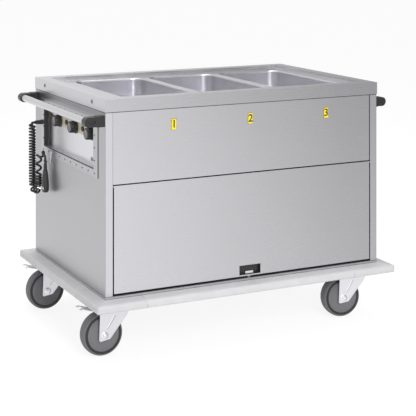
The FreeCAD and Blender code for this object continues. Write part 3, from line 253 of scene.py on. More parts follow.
def brushed(name, shade, along, rough, grain_depth=0.00006, contrast=0.10):
    """Stainless sheet with its satin grain along one axis and faint clouding."""
    steel = Finish(name, (shade, shade, shade), rough, metallic=1.0)
    stretch = [GRAIN_ALONG if axis == along else GRAIN_ACROSS for axis in "XYZ"]
    grain = steel.noise(steel.place(*stretch), 1.0, 3.0)
    cloud = steel.noise(steel.place(1.0, 1.0, 1.0), 3.0)
    dark, pale = ([shade * level * part for part in STEEL_TINT] for level in (1 - contrast, 1 + contrast))
    steel.feed(Base_Color=steel.mix(grain * 0.5 + cloud * 0.5, dark, pale),
               Roughness=rough - 0.07 + grain * 0.10 + cloud * 0.04,
               Normal=steel.bump(grain, 0.5, grain_depth, steel.soft_edge(0.0012)))
    return steel


chassis_paint = moulded("chassis_paint", (0.42, 0.43, 0.44), 0.5, 0.0001, 500.0)
dress(chassis_paint, "chassis_frame")
plain_sheet = brushed("plain_sheet", 0.46, "X", 0.42)
dress(plain_sheet, "cupboard_floor", "well_bay_floor")


# ---- Castors ----
# Four braked swivel castors: zinc-plated pressed forks and pedals, a black core, grey
# thread guards on both sides and a grey rubber tyre that marks no floor.
def piece(name, points, faces, finish, body, sharp=35.0):
    """A mesh piece that rides on a body of the trolley, smooth up to an edge angle in degrees."""
    mesh = bpy.data.meshes.new(name)
    mesh.from_pydata([Vector(point) for point in points], [], faces)
    mesh.validate()
    tidy = bmesh.new()
    tidy.from_mesh(mesh)
    bmesh.ops.recalc_face_normals(tidy, faces=tidy.faces)
    tidy.to_mesh(mesh)
    tidy.free()
    mesh.polygons.foreach_set("use_smooth", [True] * len(mesh.polygons))
    mesh.set_sharp_from_angle(angle=math.radians(sharp))
    mesh.materials.append(finish.material)
    made = bpy.data.objects.new(name, mesh)
    bpy.context.scene.collection.objects.link(made)
    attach(made, body)
    return made


def loft(rings, closed_ends=True):
    """Points and faces through rings of equally many points."""
    count = len(rings[0])
    points = [point for ring in rings for point in ring]
    faces = []
    for low in range(0, len(points) - count, count):
        faces += [(low + j, low + (j + 1) % count, low + count + (j + 1) % count, low + count + j)
                  for j in range(count)]
    if closed_ends:
        faces.append(tuple(range(count)))
        faces.append(tuple(range(len(points) - count, len(points))))
    return points, faces


# flutes are cut only where a round piece's radius is more than this
FLUTES_BEYOND = 0.018


def turned(profile, centre, axis, steps=64, flutes=0, flute_depth=0.0):
    """Points and faces of a round piece: its profile is distance along the axis and radius, in metres."""
    axis = Vector(axis).normalized()
    side = axis.orthogonal().normalized()
    other = axis.cross(side)
    rings = []
    for along, radius in profile:
        ring = []
        for k in range(steps):
            angle = 2 * math.pi * k / steps
            fluted = flutes and radius > FLUTES_BEYOND
            dent = flute_depth * max(0.0, math.cos(flutes * angle)) if fluted else 0.0
            ring.append(Vector(centre) + axis * along + (side * math.cos(angle) + other * math.sin(angle))
                        * (radius - dent))
        rings.append(ring)
    return loft(rings)


def merged(shapes):
    """Several sets of points and faces as one."""
    points, faces = [], []
    for some_points, some_faces in shapes:
        faces += [tuple(index + len(points) for index in face) for face in some_faces]
        points += list(some_points)
    return points, faces


zinc = brushed("zinc_plate", 0.74, "Z", 0.36, 0.00003, 0.06)
tyre_rubber = moulded("tyre_rubber", (0.14, 0.137, 0.144), 0.62, 0.00012, 700.0)
core_black = moulded("core_black", (0.014, 0.014, 0.015), 0.4)
guard_plastic = moulded("guard_plastic", (0.15, 0.15, 0.16), 0.45, 0.00005, 900.0)
nut_steel = brushed("nut_steel", 0.8, "X", 0.25)
TYRE = ((-0.0180, 0.0662), (-0.0180, 0.0714), (-0.0203, 0.0714), (-0.0209, 0.0720), (-0.0209, 0.0732),
        (-0.0204, 0.0746), (-0.0192, 0.0761), (-0.0172, 0.0775), (-0.0145, 0.0786), (-0.0110, 0.0794),
        (-0.0070, 0.0798), (0.0, 0.0800))
CORE = ((-0.0300, 0.0070), (-0.0300, 0.0170), (-0.0215, 0.0170), (-0.0040, 0.0175), (-0.0040, 0.0608),
        (-0.0206, 0.0614), (-0.0211, 0.0700), (-0.0206, 0.0712), (-0.0182, 0.0712), (-0.0182, 0.0664))
GUARD = ((0.0190, 0.0598), (0.0210, 0.0612), (0.0215, 0.0618), (0.0221, 0.0612), (0.0224, 0.0545),
         (0.0228, 0.0537), (0.0232, 0.0541), (0.0236, 0.0470), (0.0240, 0.0225), (0.0252, 0.0215),
         (0.0262, 0.0205), (0.0262, 0.0172), (0.0215, 0.0172))
FORK_FACE = 0.0339
BEAD_HIGH, BEAD_SUNK = 0.0016, 0.0002
# where the pressed bead of a fork's leg runs, behind and above the axle, and how wide it is
BEAD = ((-0.0060, 0.0190, 0.0014), (-0.0085, 0.0225, 0.0034), (-0.0140, 0.0300, 0.0040),
        (-0.0290, 0.0520, 0.0048), (-0.0370, 0.0650, 0.0052), (-0.0400, 0.0700, 0.0040),
        (-0.0412, 0.0722, 0.0016))
WASHER = ((0.0339, 0.0), (0.0339, 0.0132), (0.0350, 0.0132), (0.0354, 0.0126), (0.0354, 0.0))
STUB = ((0.0385, 0.0), (0.0385, 0.0052), (0.0415, 0.0052), (0.0422, 0.0044), (0.0422, 0.0))
dress(zinc, "castor_plates")
joint_at = {joint["name"]: joint for joint in frame["joints"]}
for corner in ("front_left", "front_right", "rear_left", "rear_right"):
    castor = f"castor_{corner}"
    hub = Vector(joint_at[castor + "_roll"]["pos_m"])
    axle = Vector(joint_at[castor + "_roll"]["axis"]).normalized()
    pivot = Vector(joint_at[castor + "_turn"]["pos_m"])
    behind = Vector((hub.x - pivot.x, hub.y - pivot.y, 0)).normalized()
    dress(zinc, castor + "_fork", castor + "_pedal")
    mirrored = [(-along, radius) for along, radius in reversed(TYRE[:-1])]
    ring_shape = turned([*TYRE, *mirrored], hub, axle, 96)
    tyre = piece(castor + "_tyre_ring", *ring_shape, tyre_rubber, castor + "_wheel")
    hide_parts(castor + "_tyre")
    mirrored = [(-along, radius) for along, radius in reversed(CORE)]
    core = piece(castor + "_core", *turned([*CORE, *mirrored], hub, axle, 96), core_black, castor + "_wheel")
    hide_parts(castor + "_hub")
    discs, fittings, beads = [], [], []
    for way in (1, -1):
        discs.append(turned([(along * way, radius) for along, radius in GUARD], hub, axle, 96))
        for profile, steps in ((WASHER, 40), (STUB, 32)):
            fittings.append(turned([(along * way, radius) for along, radius in profile], hub, axle, steps))
        run = (behind * (BEAD[-1][0] - BEAD[0][0]) + Vector((0, 0, BEAD[-1][1] - BEAD[0][1]))).normalized()
        beside = run.cross(axle)
        rings = []
        for back, up, half in BEAD:
            middle = hub + behind * back + Vector((0, 0, up)) + axle * (FORK_FACE * way)
            arc = [a * math.pi / 6 for a in range(7)]
            rings.append([middle + beside * (half * math.cos(angle))
                          + axle * (way * (BEAD_HIGH * math.sin(angle) - BEAD_SUNK)) for angle in arc])
        beads.append(loft(rings))
    guards = piece(castor + "_guard_discs", *merged(discs), guard_plastic, castor + "_wheel", 28)
    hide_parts(castor + "_hub")
    piece(castor + "_axle_washers", *merged(fittings), nut_steel, castor + "_swivel")
    piece(castor + "_fork_beads", *merged(beads), zinc, castor + "_swivel", 50)


# ---- Bumper ----
# Pale grey plastic rails run between moulded corner pieces all round the chassis,
# and a fine dark joint shows where they meet.
rail_plastic = moulded("bumper_rail_plastic", (0.58, 0.58, 0.59), 0.45, 0.00006, 900.0)
corner_plastic = moulded("bumper_corner_plastic", (0.56, 0.56, 0.57), 0.48, 0.00006, 900.0)
dress(rail_plastic, "bumper_rails")
dress(corner_plastic, "bumper_corners")
# The same dark finish serves the bumper's real joints and the cabinet's painted gap shade.
dark_joint_and_gap_shade = moulded("dark_joint_and_gap_shade", (0.05, 0.05, 0.052), 0.6)
rail_low, rail_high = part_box("bumper_rails")
middle_x = (rail_low.x + rail_high.x) / 2
CORNER_REACH = 0.199
PROUD = 0.0002
RAIL_DEEP = 0.054
JOINT_HALF = 0.0005
SECTION = ((0.046, 0.0), (0.0510, 0.0016), (0.0540, 0.0060), (0.0540, 0.0170), (0.0525, 0.0232),
           (0.0490, 0.0272), (0.0430, 0.0295), (0.0, 0.0330))
joints_of_rails = []
for sx, sy in ((-1, -1), (1, -1), (1, 1), (-1, 1)):
    out_x = rail_high.x if sx > 0 else rail_low.x
    out_y = rail_high.y if sy > 0 else rail_low.y
    for along_x in (True, False):
        rings = []
        for offset in (-JOINT_HALF, JOINT_HALF):
            ring = []
            for out, up in SECTION:
                depth, reached = RAIL_DEEP - out - PROUD, CORNER_REACH + offset
                in_x, in_y = (reached, depth) if along_x else (depth, reached)
                height = rail_low.z + up + (PROUD if up > 0.02 else 0)
                ring.append(Vector((out_x - sx * in_x, out_y - sy * in_y, height)))
            rings.append(ring)
        joints_of_rails.append(loft(rings))
piece("bumper_joints", *merged(joints_of_rails), dark_joint_and_gap_shade, "cabinet", 30)


# ---- Cabinet ----
# Folded stainless sheet: end and rear panels, bright corner posts, a base strip and the
# fixed front panel above the flap. Thin dark strips paint the shade in the gaps under the
# fascia, above and below the base strip and beside the panel above the flap.
def rounded_loop(centre, wide, long, radius, out, height, steps=10):
    """A level ring of points round a rounded rectangle, set out from it by some distance."""
    ring = []
    for quarter, (sx, sy) in enumerate(((1, 1), (-1, 1), (-1, -1), (1, -1))):
        corner = Vector((centre[0] + sx * (wide / 2 - radius), centre[1] + sy * (long / 2 - radius), height))
        for k in range(steps + 1):
            angle = math.pi / 2 * (quarter + k / steps)
            ring.append(corner + Vector((math.cos(angle), math.sin(angle), 0)) * (radius + out))
    return ring


front_steel = brushed("front_steel", 0.59, "X", 0.26, 0.00003, 0.05)
dress(front_steel, "upper_front_panel", "front_flap", "rear_panel")
# The end panels' sheet is given a darker colour than the front's: painted shade for the duller light the ends
# take.
shaded_end_steel = brushed("shaded_end_steel", 0.40, "Y", 0.34, 0.00004, 0.07)
dress(shaded_end_steel, "left_end_panel", "right_end_panel")
post_steel = brushed("post_steel", 0.62, "Z", 0.3, 0.00003, 0.05)
dress(post_steel, "corner_posts", "flap_hinge_pins")
strip_steel = brushed("strip_steel", 0.58, "X", 0.3, 0.00003, 0.05)
dress(strip_steel, "base_strips")
end_low, end_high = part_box("left_end_panel")
far_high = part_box("right_end_panel")[1]
strip_low, strip_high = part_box("base_strips")
cabinet_long, cabinet_deep = far_high.x - end_low.x, end_high.y - end_low.y
# Thin dark strips, barely proud of the sheet, are painted shade in the cabinet's gaps.
gap_shade_strips = []
fascia_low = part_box("worktop")[0].z
for low, high, out in ((fascia_low - 0.0028, fascia_low + 0.0020, 0.0004),
                       (strip_high.z - 0.0010, strip_high.z + 0.0008, 0.0002),
                       (strip_low.z - 0.0004, strip_low.z + 0.0012, 0.0002)):
    rings = [rounded_loop((middle_x, 0), cabinet_long, cabinet_deep, 0.001, out * share, height, 2)
             for height, share in ((low, 0.0), (low, 1.0), (high, 1.0), (high, 0.0))]
    gap_shade_strips.append(loft(rings, closed_ends=False))
upper_low, upper_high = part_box("upper_front_panel")
for x, wide in ((upper_low.x, 0.0024), (upper_high.x - 0.0030, 0.0030)):
    corners = [(x, upper_low.z), (x + wide, upper_low.z), (x + wide, upper_high.z), (x, upper_high.z)]
    gap_shade_strips.append(loft([[Vector((cx, upper_low.y - depth, cz)) for cx, cz in corners]
                       for depth in (0.0, 0.0002)]))
piece("cabinet_gap_shade", *merged(gap_shade_strips), dark_joint_and_gap_shade, "cabinet", 30)


# ---- Worktop ----
# One pressed sheet: a raised rim round a sunken deck. Each well's mouth has a rolled
# lip, and two blind inserts in the left fascia take a shelf that can be added.
top_steel = brushed("top_steel", 0.54, "X", 0.28, 0.00004, 0.06)
dress(top_steel, "worktop")
MOUTH_WIDE, MOUTH_LONG, MOUTH_CORNER = 0.305, 0.508, 0.042
RIM_STEP = 0.015
LIP = ((0.0100, 0.0), (0.0085, 0.0007), (0.0045, 0.0011), (0.0012, 0.0008), (-0.0003, -0.0004),
       (-0.0010, -0.0022), (-0.0012, -0.0060), (-0.0002, -0.0060))
top_low, top_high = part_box("worktop")
deck = top_high.z - RIM_STEP
well_middles = []
for number in (1, 2, 3):
    low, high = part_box(f"well_{number}")
    well_middles.append((low + high) / 2)
    rings = [rounded_loop(well_middles[-1], MOUTH_WIDE, MOUTH_LONG, MOUTH_CORNER, out, deck + height)
             for out, height in LIP]
    piece(f"well_lip_{number}", *loft(rings, closed_ends=False), top_steel, "cabinet")
INSERT = ((0, 0.0085), (0.0008, 0.0085), (0.0012, 0.008), (0.0012, 0.0048), (-0.0006, 0.0042), (-0.0006, 0))
INSERT_Z = 0.923
inserts = [turned(INSERT, (top_low.x, y, INSERT_Z), (-1, 0, 0), 40) for y in (0.245, -0.239)]
insert_steel = brushed("insert_steel", 0.3, "Z", 0.3)
piece("fascia_inserts", *merged(inserts), insert_steel, "cabinet")


# ---- Wells ----
# Deep-drawn steel pans with satin sides and rounded floor edges. A strainer disc with a
# ring of studs sits in each drain, and a heating plate lies under each pan.
WELL_DEEP, WELL_WALL, FLOOR_ROUND = 0.2000, 0.0012, 0.018
UNDER_LIP = 0.0016
# The pans' and strainers' sheet is much paler than the sheet outside: painted light for what the deep hollows
# lose.
well_steel = brushed("well_steel", 0.86, "Z", 0.24, 0.00001, 0.03)
outer, inner = [], []
for k in range(7):
    angle = math.pi / 2 * k / 6
    round_out = FLOOR_ROUND + WELL_WALL
    outer.append((WELL_WALL - round_out * (1 - math.cos(angle)),
                  -WELL_DEEP - WELL_WALL + round_out * (1 - math.sin(angle))))
    inner.append((-FLOOR_ROUND * (1 - math.cos(angle)), -WELL_DEEP + FLOOR_ROUND * (1 - math.sin(angle))))
WELL = [*reversed(outer), (WELL_WALL, -UNDER_LIP), (0.0, -UNDER_LIP), *inner]
STRAINER = ((0, 0.019), (0.0012, 0.019), (0.002, 0.0178), (0.0012, 0.0165), (0.0012, 0.0))
DRAIN_Y, STUD_RING = 0.150, 0.0105
STUD = ((0.0012, 0.0016), (0.0022, 0.0013), (0.0024, 0.0))
for number, middle in enumerate(well_middles, 1):
    rings = [rounded_loop(middle, MOUTH_WIDE, MOUTH_LONG, MOUTH_CORNER, out, deck + height)
             for out, height in WELL]
    pan = piece(f"well_pan_{number}", *loft(rings), well_steel, "cabinet", 40)
    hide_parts(f"well_{number}")
    spot = Vector((middle.x, DRAIN_Y, deck - WELL_DEEP))
    disc = turned(STRAINER, spot, (0, 0, 1), 48)
    round_disc = [a * math.pi / 4 for a in range(8)]
    studs = [turned(STUD, spot + Vector((math.cos(angle), math.sin(angle), 0)) * STUD_RING, (0, 0, 1), 12)
             for angle in round_disc]
    piece(f"drain_strainer_{number}", *merged([disc, *studs]), well_steel, "cabinet")
heater_finish = brushed("heater_plate", 0.5, "Y", 0.5)
dress(heater_finish, "heating_plates")


# ---- Drain ----
# Steel pipework under the wells, out of sight, joins them to one pipe with a valve in
# the cupboard. The valve's lever is painted red.
dress(plain_sheet, "drain_pipe")
valve_metal = brushed("valve_metal", 0.6, "Z", 0.25)
dress(valve_metal, "drain_valve")
lever_paint = moulded("lever_paint", (0.42, 0.03, 0.02), 0.4)
dress(lever_paint, "drain_lever")


# ---- Flap latch ----
# A black moulded cup is set into the flap's lower edge. It hides a bright steel bolt
# with a finger tab, which slides in it.
black_moulding = moulded("black_moulding", (0.018, 0.018, 0.019), 0.42)
dress(black_moulding, "latch_cup")
bolt_steel = brushed("bolt_steel", 0.75, "Z", 0.2)
dress(bolt_steel, "latch_bolt")


# ---- Control bay ----
# A riveted cover frames a recess in the left end. Thermostat knobs and lamp bezels stand
# on a panel with cream scales, whose sheet is painted paler to stand in for light. Black
# strips paint the shadow along the window's edges and in the gap at the cover's near edge.
# Like the end panels, the cover and thermostats get a darker sheet than the front: painted shade for the left
# end's duller light.
shaded_cover_steel = brushed("shaded_cover_steel", 0.44, "Y", 0.34, 0.00004, 0.06)
dress(shaded_cover_steel, "control_cover", "thermostats")
# The recessed panel's sheet is paler than the cover's: painted light making up for the light the recess
# loses.
lightened_bay_steel = brushed("lightened_bay_steel", 0.64, "Y", 0.3, 0.00004, 0.05)
dress(lightened_bay_steel, "control_panel")
cream = moulded("scale_cream", (0.62, 0.58, 0.42), 0.4)
dress(cream, "knob_scale")
cover_low, cover_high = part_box("control_cover")
face = cover_low.x
RIVET = ((0, 0.0034), (0.0007, 0.0033), (0.0014, 0.0024), (0.0018, 0.0011), (0.0019, 0.0))
RIVET_Y, RIVET_LOW, RIVET_STEP = 0.2606, 0.0130, 0.047
rivets = []
for k in range(10):
    for z in (cover_high.z - RIVET_LOW, cover_low.z + RIVET_LOW):
        rivets.append(turned(RIVET, (face, RIVET_Y - k * RIVET_Y / 4.5, z), (-1, 0, 0), 20))
for k in (1, 2, 3):
    for y in (-RIVET_Y, RIVET_Y):
        rivets.append(turned(RIVET, (face, y, cover_low.z + RIVET_LOW + k * RIVET_STEP), (-1, 0, 0), 20))
rivet_steel = brushed("rivet_steel", 0.16, "Z", 0.35)
piece("cover_rivets", *merged(rivets), rivet_steel, "cabinet")
panel_low, panel_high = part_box("control_panel")


def bar_on_end(corners, near, far):
    """A flat bar on the left end: corners in Y and Z, from one X to another."""
    return loft([[Vector((x, y, z)) for y, z in corners] for x in (near, far)])


def strip(y_one, z_one, y_two, z_two):
    """The corners of a level or upright strip."""
    return [(y_one, z_one), (y_two, z_one), (y_two, z_two), (y_one, z_two)]


# Black strips paint the shadow in the window: along its lower edge and far side, inside the far wall, and in
# the gap at the cover's near edge.
SHADE_PROUD, SHADE_DEEP, GAP_DEEP = 0.0016, 0.0190, 0.0014
below = strip(panel_low.y, panel_low.z - 0.0025, panel_high.y, panel_low.z + 0.0016)
beyond = strip(panel_high.y - 0.0015, panel_low.z, panel_high.y + 0.0025, panel_high.z)
inside = strip(panel_high.y - 0.0019, panel_low.z + 0.0015, panel_high.y - 0.0015, panel_high.z - 0.0015)
near_gap = strip(cover_low.y - 0.0026, cover_low.z, cover_low.y, cover_high.z)
window_shade_pieces = [bar_on_end(below, face, face - SHADE_PROUD), bar_on_end(beyond, face, face - SHADE_PROUD),
               bar_on_end(inside, face, face + SHADE_DEEP), bar_on_end(near_gap, face + GAP_DEEP, face)]
window_shade_finish = moulded("window_edge_shade", (0.02, 0.02, 0.02), 0.5)
piece("window_edge_shade", *merged(window_shade_pieces), window_shade_finish, "cabinet")
scale_low, scale_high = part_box("knob_scale")
BEZEL = ((0.0, 0.0100), (0.0040, 0.0100), (0.0055, 0.0092), (0.0060, 0.0078), (0.0052, 0.0070), (0.0052, 0.0))
LENS = ((0.0050, 0.0068), (0.0062, 0.0066), (0.0074, 0.0052), (0.0080, 0.0030), (0.0082, 0.0))
LAMP_BEHIND_KNOB = 0.089
ink = moulded("ink_black", (0.015, 0.015, 0.015), 0.4)
lens_plastic = moulded("lens_plastic", (0.10, 0.035, 0.012), 0.15)
TICKS, TICK_HALF = 11, 0.0005
TICK_ROOT, TICK_TIP = 0.0275, 0.0315
SCALE_HALF = 0.019
marks, bezels, lenses = [], [], []
for number in (1, 2, 3):
    low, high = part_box(f"knob_{number}")
    middle = (low + high) / 2
    lamp_spot = Vector((scale_low.x, middle.y + LAMP_BEHIND_KNOB, middle.z + 0.003))
    if lamp_spot.y > scale_high.y:
        lamp_spot.x = scale_high.x
    bezels.append(turned(BEZEL, lamp_spot, (-1, 0, 0), 40))
    lenses.append(turned(LENS, lamp_spot, (-1, 0, 0), 32))
    for k in range(TICKS):
        angle = math.radians(-45 + 270 * k / (TICKS - 1))
        out = Vector((0, math.cos(angle), math.sin(angle)))
        beside = Vector((0, -out.z, out.y)) * TICK_HALF
        if abs(out.z) * TICK_TIP < SCALE_HALF:
            root, tip = middle + out * TICK_ROOT, middle + out * TICK_TIP
            corners = [root - beside, root + beside, tip + beside, tip - beside]
            marks.append(loft([[Vector((scale_low.x - depth, c.y, c.z)) for c in corners]
                               for depth in (0.0, 0.0002)]))
piece("scale_marks", *merged(marks), ink, "cabinet", 180)
piece("lamp_bezels", *merged(bezels), black_moulding, "cabinet")
piece("lamp_lenses", *merged(lenses), lens_plastic, "cabinet")
bare_plate = moulded("bare_plate", (0.20, 0.20, 0.21), 0.4)
PLATE_CORNERS, PLATE_THICK = (-0.232, 0.6935, -0.184, 0.7065), 0.0006
bare_shape = bar_on_end(strip(*PLATE_CORNERS), scale_high.x, scale_high.x - PLATE_THICK)
piece("rating_plate_bare", *bare_shape, bare_plate, "cabinet")


# ---- Knobs ----
# Black moulded caps with finger flutes and a skirt, pressed on the thermostats' shafts.
# Each has a satin metal face with a white pointer.
knob_plastic = moulded("knob_plastic", (0.016, 0.016, 0.017), 0.36)
face_metal = brushed("knob_face_metal", 0.16, "Z", 0.35)
pointer_white = moulded("pointer_white", (0.7, 0.7, 0.68), 0.4)
CAP = ((0.0, 0.0260), (0.0030, 0.0260), (0.0040, 0.0252), (0.0043, 0.0232), (0.0060, 0.0230),
       (0.0240, 0.0221), (0.0268, 0.0211), (0.0280, 0.0190), (0.0280, 0.0178), (0.0266, 0.0172),
       (0.0266, 0.0))
DISC = ((0.0262, 0.0170), (0.0272, 0.0170), (0.0275, 0.0162), (0.0273, 0.0154), (0.0275, 0.0110),
        (0.0276, 0.0))
CAP_STEPS, FLUTES, FLUTE_DEEP = 120, 15, 0.0018
POINTER = ((0.0, 0.0052), (0.0009, 0.0058), (0.0009, 0.0148), (-0.0009, 0.0148), (-0.0009, 0.0058))
for number in (1, 2, 3):
    low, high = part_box(f"knob_{number}")
    back = Vector((high.x, (low.y + high.y) / 2, (low.z + high.z) / 2))
    turning = f"control_knob_{number}"
    cap_shape = turned(CAP, back, (-1, 0, 0), CAP_STEPS, FLUTES, FLUTE_DEEP)
    cap = piece(f"knob_cap_{number}", *cap_shape, knob_plastic, turning, 50)
    disc = piece(f"knob_face_{number}", *turned(DISC, back, (-1, 0, 0), 64), face_metal, turning)
    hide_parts(f"knob_{number}")
    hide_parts(f"knob_{number}")
    mark = loft([[back + Vector((-depth, y, z)) for y, z in POINTER] for depth in (0.0274, 0.0279)])
    piece(f"knob_pointer_{number}", *mark, pointer_white, turning, 180)


# ---- Handles ----
# Black moulded brackets hold a satin tube at each end: a deep push handle on the left
# and a short grab rail on the right.
handle_black = moulded("handle_black", (0.010, 0.010, 0.011), 0.38)
dress(handle_black, "left_handle_brackets", "right_handle_brackets")
tube_metal = brushed("tube_metal", 0.55, "Y", 0.3, 0.00003, 0.04)
dress(tube_metal, "left_handle_tube", "right_handle_tube")


# ---- Mains lead ----
# A black curly lead hangs from its gland, turns back on itself and rises to the plug's
# neck. Its curls are wound round that route: loose above, close below, and drawn out
# where the lead rises to the plug.
rubber = moulded("lead_rubber", (0.012, 0.012, 0.013), 0.45, 0.00004, 1200.0)
gland_low, gland_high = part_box("cord_gland")
gland_tip = Vector((gland_low.x, (gland_low.y + gland_high.y) / 2, (gland_low.z + gland_high.z) / 2))
relief = [(0.0380, 0.0), (0.0380, 0.0100), (0.0300, 0.0100), (0.0290, 0.0092), (0.0250, 0.0092)]
for k in range(5):
    start = 0.0245 - k * 0.0048
    wide = 0.0090 - k * 0.0004
    relief += [(start, wide), (start - 0.0024, wide), (start - 0.0028, wide - 0.0016),
               (start - 0.0044, wide - 0.0016)]
relief += [(0.0005, 0.0064), (0.0, 0.0058), (0.0, 0.0)]
gland = piece("lead_gland", *turned(relief, gland_tip, (1, 0, 0), 48), rubber, "cabinet")
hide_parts("cord_gland")

LEAD_DIAMETER = 0.009
CURL_RADIUS = 0.0105
lead_line = [
    (-0.6185, 0.2790, 0.7690), (-0.6250, 0.2790, 0.7690), (-0.6310, 0.2780, 0.7690),
    (-0.6330, 0.2710, 0.7650), (-0.6330, 0.2685, 0.7450), (-0.6330, 0.2685, 0.6800),
    (-0.6330, 0.2685, 0.6100), (-0.6330, 0.2685, 0.5450), (-0.6325, 0.2670, 0.5170),
    (-0.6300, 0.2600, 0.4990), (-0.6270, 0.2490, 0.4940), (-0.6240, 0.2380, 0.4990),
    (-0.6215, 0.2310, 0.5170), (-0.6210, 0.2295, 0.5450), (-0.6210, 0.2295, 0.5850),
    (-0.6210, 0.2290, 0.6200), (-0.6200, 0.2240, 0.6430), (-0.6160, 0.2080, 0.6530),
    (-0.6115, 0.1870, 0.6530), (-0.6100, 0.1800, 0.6440), (-0.6100, 0.1800, 0.6320)]
route = bpy.data.curves.new("lead_route", "CURVE")
route.dimensions = "3D"
route.resolution_u = 24
strand = route.splines.new("NURBS")
strand.points.add(len(lead_line) - 1)
for control, spot in zip(strand.points, lead_line):
    control.co = (*spot, 1)
strand.order_u = 3
strand.use_endpoint_u = True
route_object = bpy.data.objects.new("lead_route", route)
bpy.context.scene.collection.objects.link(route_object)
bpy.context.view_layer.update()
line_mesh = bpy.data.meshes.new_from_object(route_object)
line = [vertex.co.copy() for vertex in line_mesh.vertices]
bpy.data.objects.remove(route_object)
bpy.data.meshes.remove(line_mesh)
reach = [0.0]
for first, second in zip(line, line[1:]):
    reach.append(reach[-1] + (second - first).length)


def along_line(distance):
    """The point and heading at a distance along the lead's route."""
    for k in range(1, len(line)):
        if distance <= reach[k] or k == len(line) - 1:
            step = line[k] - line[k - 1]
            share = (distance - reach[k - 1]) / (reach[k] - reach[k - 1])
            return line[k - 1] + step * share, step.normalized()


# how far apart the curls stand at distances along the route, in metres per curl
SPACING = ((0.030, 0.0135), (0.110, 0.0110), (0.262, 0.0110), (0.270, 0.0213), (0.322, 0.0213),
           (0.330, 0.0110), (0.372, 0.0110), (0.385, 0.0340), (1.0, 0.0340))
PLAIN_START, PLAIN_END = 0.014, 0.020
TAPER = 0.012
CURL_STEPS, PLAIN_STEP = 20, 0.003


def spacing_at(distance):
    """Metres of route per curl."""
    for (near, tight), (far, loose) in zip(SPACING, SPACING[1:]):
        if distance < far:
            share = min(max((distance - near) / (far - near), 0), 1)
            return tight + (loose - tight) * share
    return SPACING[-1][1]


total = reach[-1]
lead_path = []
distance, turn = 0.0, math.radians(90)
side = Vector((0, 1, 0))
while distance < total:
    spot, heading = along_line(distance)
    side = (side - heading * side.dot(heading)).normalized()
    rising = min(max((distance - PLAIN_START) / TAPER, 0), 1)
    falling = min(max((total - PLAIN_END - distance) / TAPER, 0), 1)
    swell = rising * falling
    curl = CURL_RADIUS * swell * swell * (3 - 2 * swell)
    lead_path.append(spot + (side * math.cos(turn) + heading.cross(side) * math.sin(turn)) * curl)
    distance += spacing_at(distance) / CURL_STEPS if swell > 0 else PLAIN_STEP
    turn += 2 * math.pi / CURL_STEPS if swell > 0 else 0.0
lead_path.append(along_line(total)[0])


def tube(path, radius, sides=10):
    """Points and faces of a round tube along a path."""
    rings = []
    lean = None
    for k, spot in enumerate(path):
        heading = (path[min(k + 1, len(path) - 1)] - path[max(k - 1, 0)]).normalized()
        lean = heading.orthogonal() if lean is None else lean - heading * lean.dot(heading)
        lean.normalize()
        other = heading.cross(lean)
        angles = [2 * math.pi * j / sides for j in range(sides)]
        rings.append([spot + (lean * math.cos(angle) + other * math.sin(angle)) * radius for angle in angles])
    return loft(rings)


lead = piece("curly_lead", *tube(lead_path, LEAD_DIAMETER / 2), rubber, "cabinet", 60)
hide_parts("curly_cord")
lead_length = sum((second - first).length for first, second in zip(lead_path, lead_path[1:]))


# ---- Plug ----
# A moulded angled plug hangs by its neck on a steel hook: a round head with two pins, a
# long tapered grip and a ribbed neck. A drop-shaped plate backs the hook on the cover.
plug_low, plug_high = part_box("mains_plug")
NECK = Vector((lead_line[-1][0], lead_line[-1][1], plug_high.z))
HEAD = Vector((lead_line[-1][0], lead_line[-1][1], plug_low.z + 0.019))
GRIP_LONG = 0.070
# below 1 the shell's section bulges towards a rounded box
SECTION_POWER = 0.75
SHELL = ((-0.0190, 0.0070, 0.0080), (-0.0184, 0.0095, 0.0110), (-0.0150, 0.0118, 0.0150),
         (-0.0080, 0.0128, 0.0178), (0.0, 0.0130, 0.0188), (0.0090, 0.0130, 0.0184),
         (0.0180, 0.0130, 0.0172), (0.0300, 0.0125, 0.0155), (0.0430, 0.0115, 0.0135),
         (0.0560, 0.0100, 0.0112), (0.0680, 0.0084, 0.0090), (GRIP_LONG, 0.0072, 0.0074))
rings = []
for height, half_x, half_y in SHELL:
    ring = []
    for k in range(40):
        c, s = math.cos(math.pi * k / 20), math.sin(math.pi * k / 20)
        ring.append(HEAD + Vector((math.copysign(abs(c) ** SECTION_POWER, c) * half_x,
                                   math.copysign(abs(s) ** SECTION_POWER, s) * half_y, height)))
    rings.append(ring)
plug = piece("plug_shell", *loft(rings), black_moulding, "cabinet", 50)
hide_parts("mains_plug")
neck_length = NECK.z - HEAD.z - GRIP_LONG
ribs = [(0.0, 0.0)]
for k in range(6):
    low_end = k * neck_length / 6
    wide = 0.0075 - k * 0.0002
    ribs += [(low_end, wide), (low_end + neck_length / 11, wide), (low_end + neck_length / 10, wide - 0.0014),
             (low_end + neck_length / 6.2, wide - 0.0014)]
ribs += [(neck_length, 0.0058), (neck_length, 0.0)]
neck_shape = turned(ribs, HEAD + Vector((0, 0, GRIP_LONG)), (0, 0, 1), 40)
plug_neck = piece("plug_neck", *neck_shape, black_moulding, "cabinet")
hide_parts("mains_plug")
PIN = ((-0.0125, 0.0), (-0.0125, 0.0058), (-0.0140, 0.0058), (-0.0140, 0.0024), (-0.0305, 0.0024),
       (-0.0316, 0.0018), (-0.0320, 0.0))
pins = [turned([(-along, radius) for along, radius in PIN], HEAD + Vector((0, y, 0)), (-1, 0, 0), 28)
        for y in (-0.0095, 0.0095)]
pin_metal = brushed("pin_metal", 0.72, "X", 0.22)
prongs = piece("plug_pins", *merged(pins), pin_metal, "cabinet")
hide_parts("mains_plug")
hook_steel = brushed("hook_steel", 0.8, "Z", 0.25)
dress(hook_steel, "plug_hook")
hook_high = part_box("plug_hook")[1]
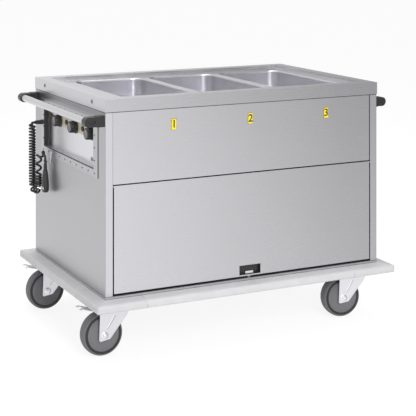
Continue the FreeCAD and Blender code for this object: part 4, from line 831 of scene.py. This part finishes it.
DROP_ROUND, DROP_TAIL, DROP_NARROWS = 0.0130, 0.026, 0.75
DROP_BELOW = 0.016
drop = []
for k in range(32):
    angle = 2 * math.pi * k / 32
    sag = max(0.0, -math.sin(angle))
    across = DROP_ROUND * math.cos(angle) * (1 - DROP_NARROWS * sag)
    drop.append((HEAD.y + across, hook_high.z - DROP_BELOW + DROP_ROUND * math.sin(angle) - DROP_TAIL * sag))
piece("hook_plate", *bar_on_end(drop, face, face - 0.0012), hook_steel, "cabinet")


# ---- Number plates ----
# Small yellow plates with a black edge number the wells on the serving side. They are
# fixed to the front panel above the flap, and their black digits are raised.
PLATE_WIDE, PLATE_HIGH, PLATE_CORNER, PLATE_Z = 0.0225, 0.043, 0.004, 0.8370
DIGIT_HIGH, DIGIT_THICK, DIGIT_FATTER = 0.041, 0.0002, 0.0006
yellow = moulded("plate_yellow", (0.85, 0.66, 0.02), 0.35)
for number, x in enumerate((-0.3037, 0.0255, 0.3711), 1):
    for name, finish, less, proud in (("edge", ink, 0.0, 0.0006), ("field", yellow, 0.0022, 0.0010)):
        rings = []
        for inset, depth in ((0.0, 0.0), (0.0, proud * 0.6), (0.0003, proud)):
            wide, high, corner = PLATE_WIDE - less, PLATE_HIGH - less, PLATE_CORNER - less / 2
            flat = rounded_loop((x, 0.0), wide, high, corner, -inset, 0.0, 4)
            rings.append([Vector((spot.x, upper_low.y - depth, PLATE_Z + spot.y)) for spot in flat])
        piece(f"number_plate_{name}_{number}", *loft(rings), finish, "cabinet")
    digit = bpy.data.curves.new(f"number_{number}", "FONT")
    digit.body = str(number)
    digit.size = DIGIT_HIGH
    digit.extrude = DIGIT_THICK
    digit.offset = DIGIT_FATTER
    digit.align_x, digit.align_y = "CENTER", "CENTER"
    digit.materials.append(ink.material)
    sign = bpy.data.objects.new(f"number_{number}", digit)
    sign.location = (x, upper_low.y - 0.0011, PLATE_Z)
    sign.rotation_euler = (math.pi / 2, 0, 0)
    bpy.context.scene.collection.objects.link(sign)
    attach(sign, "cabinet")
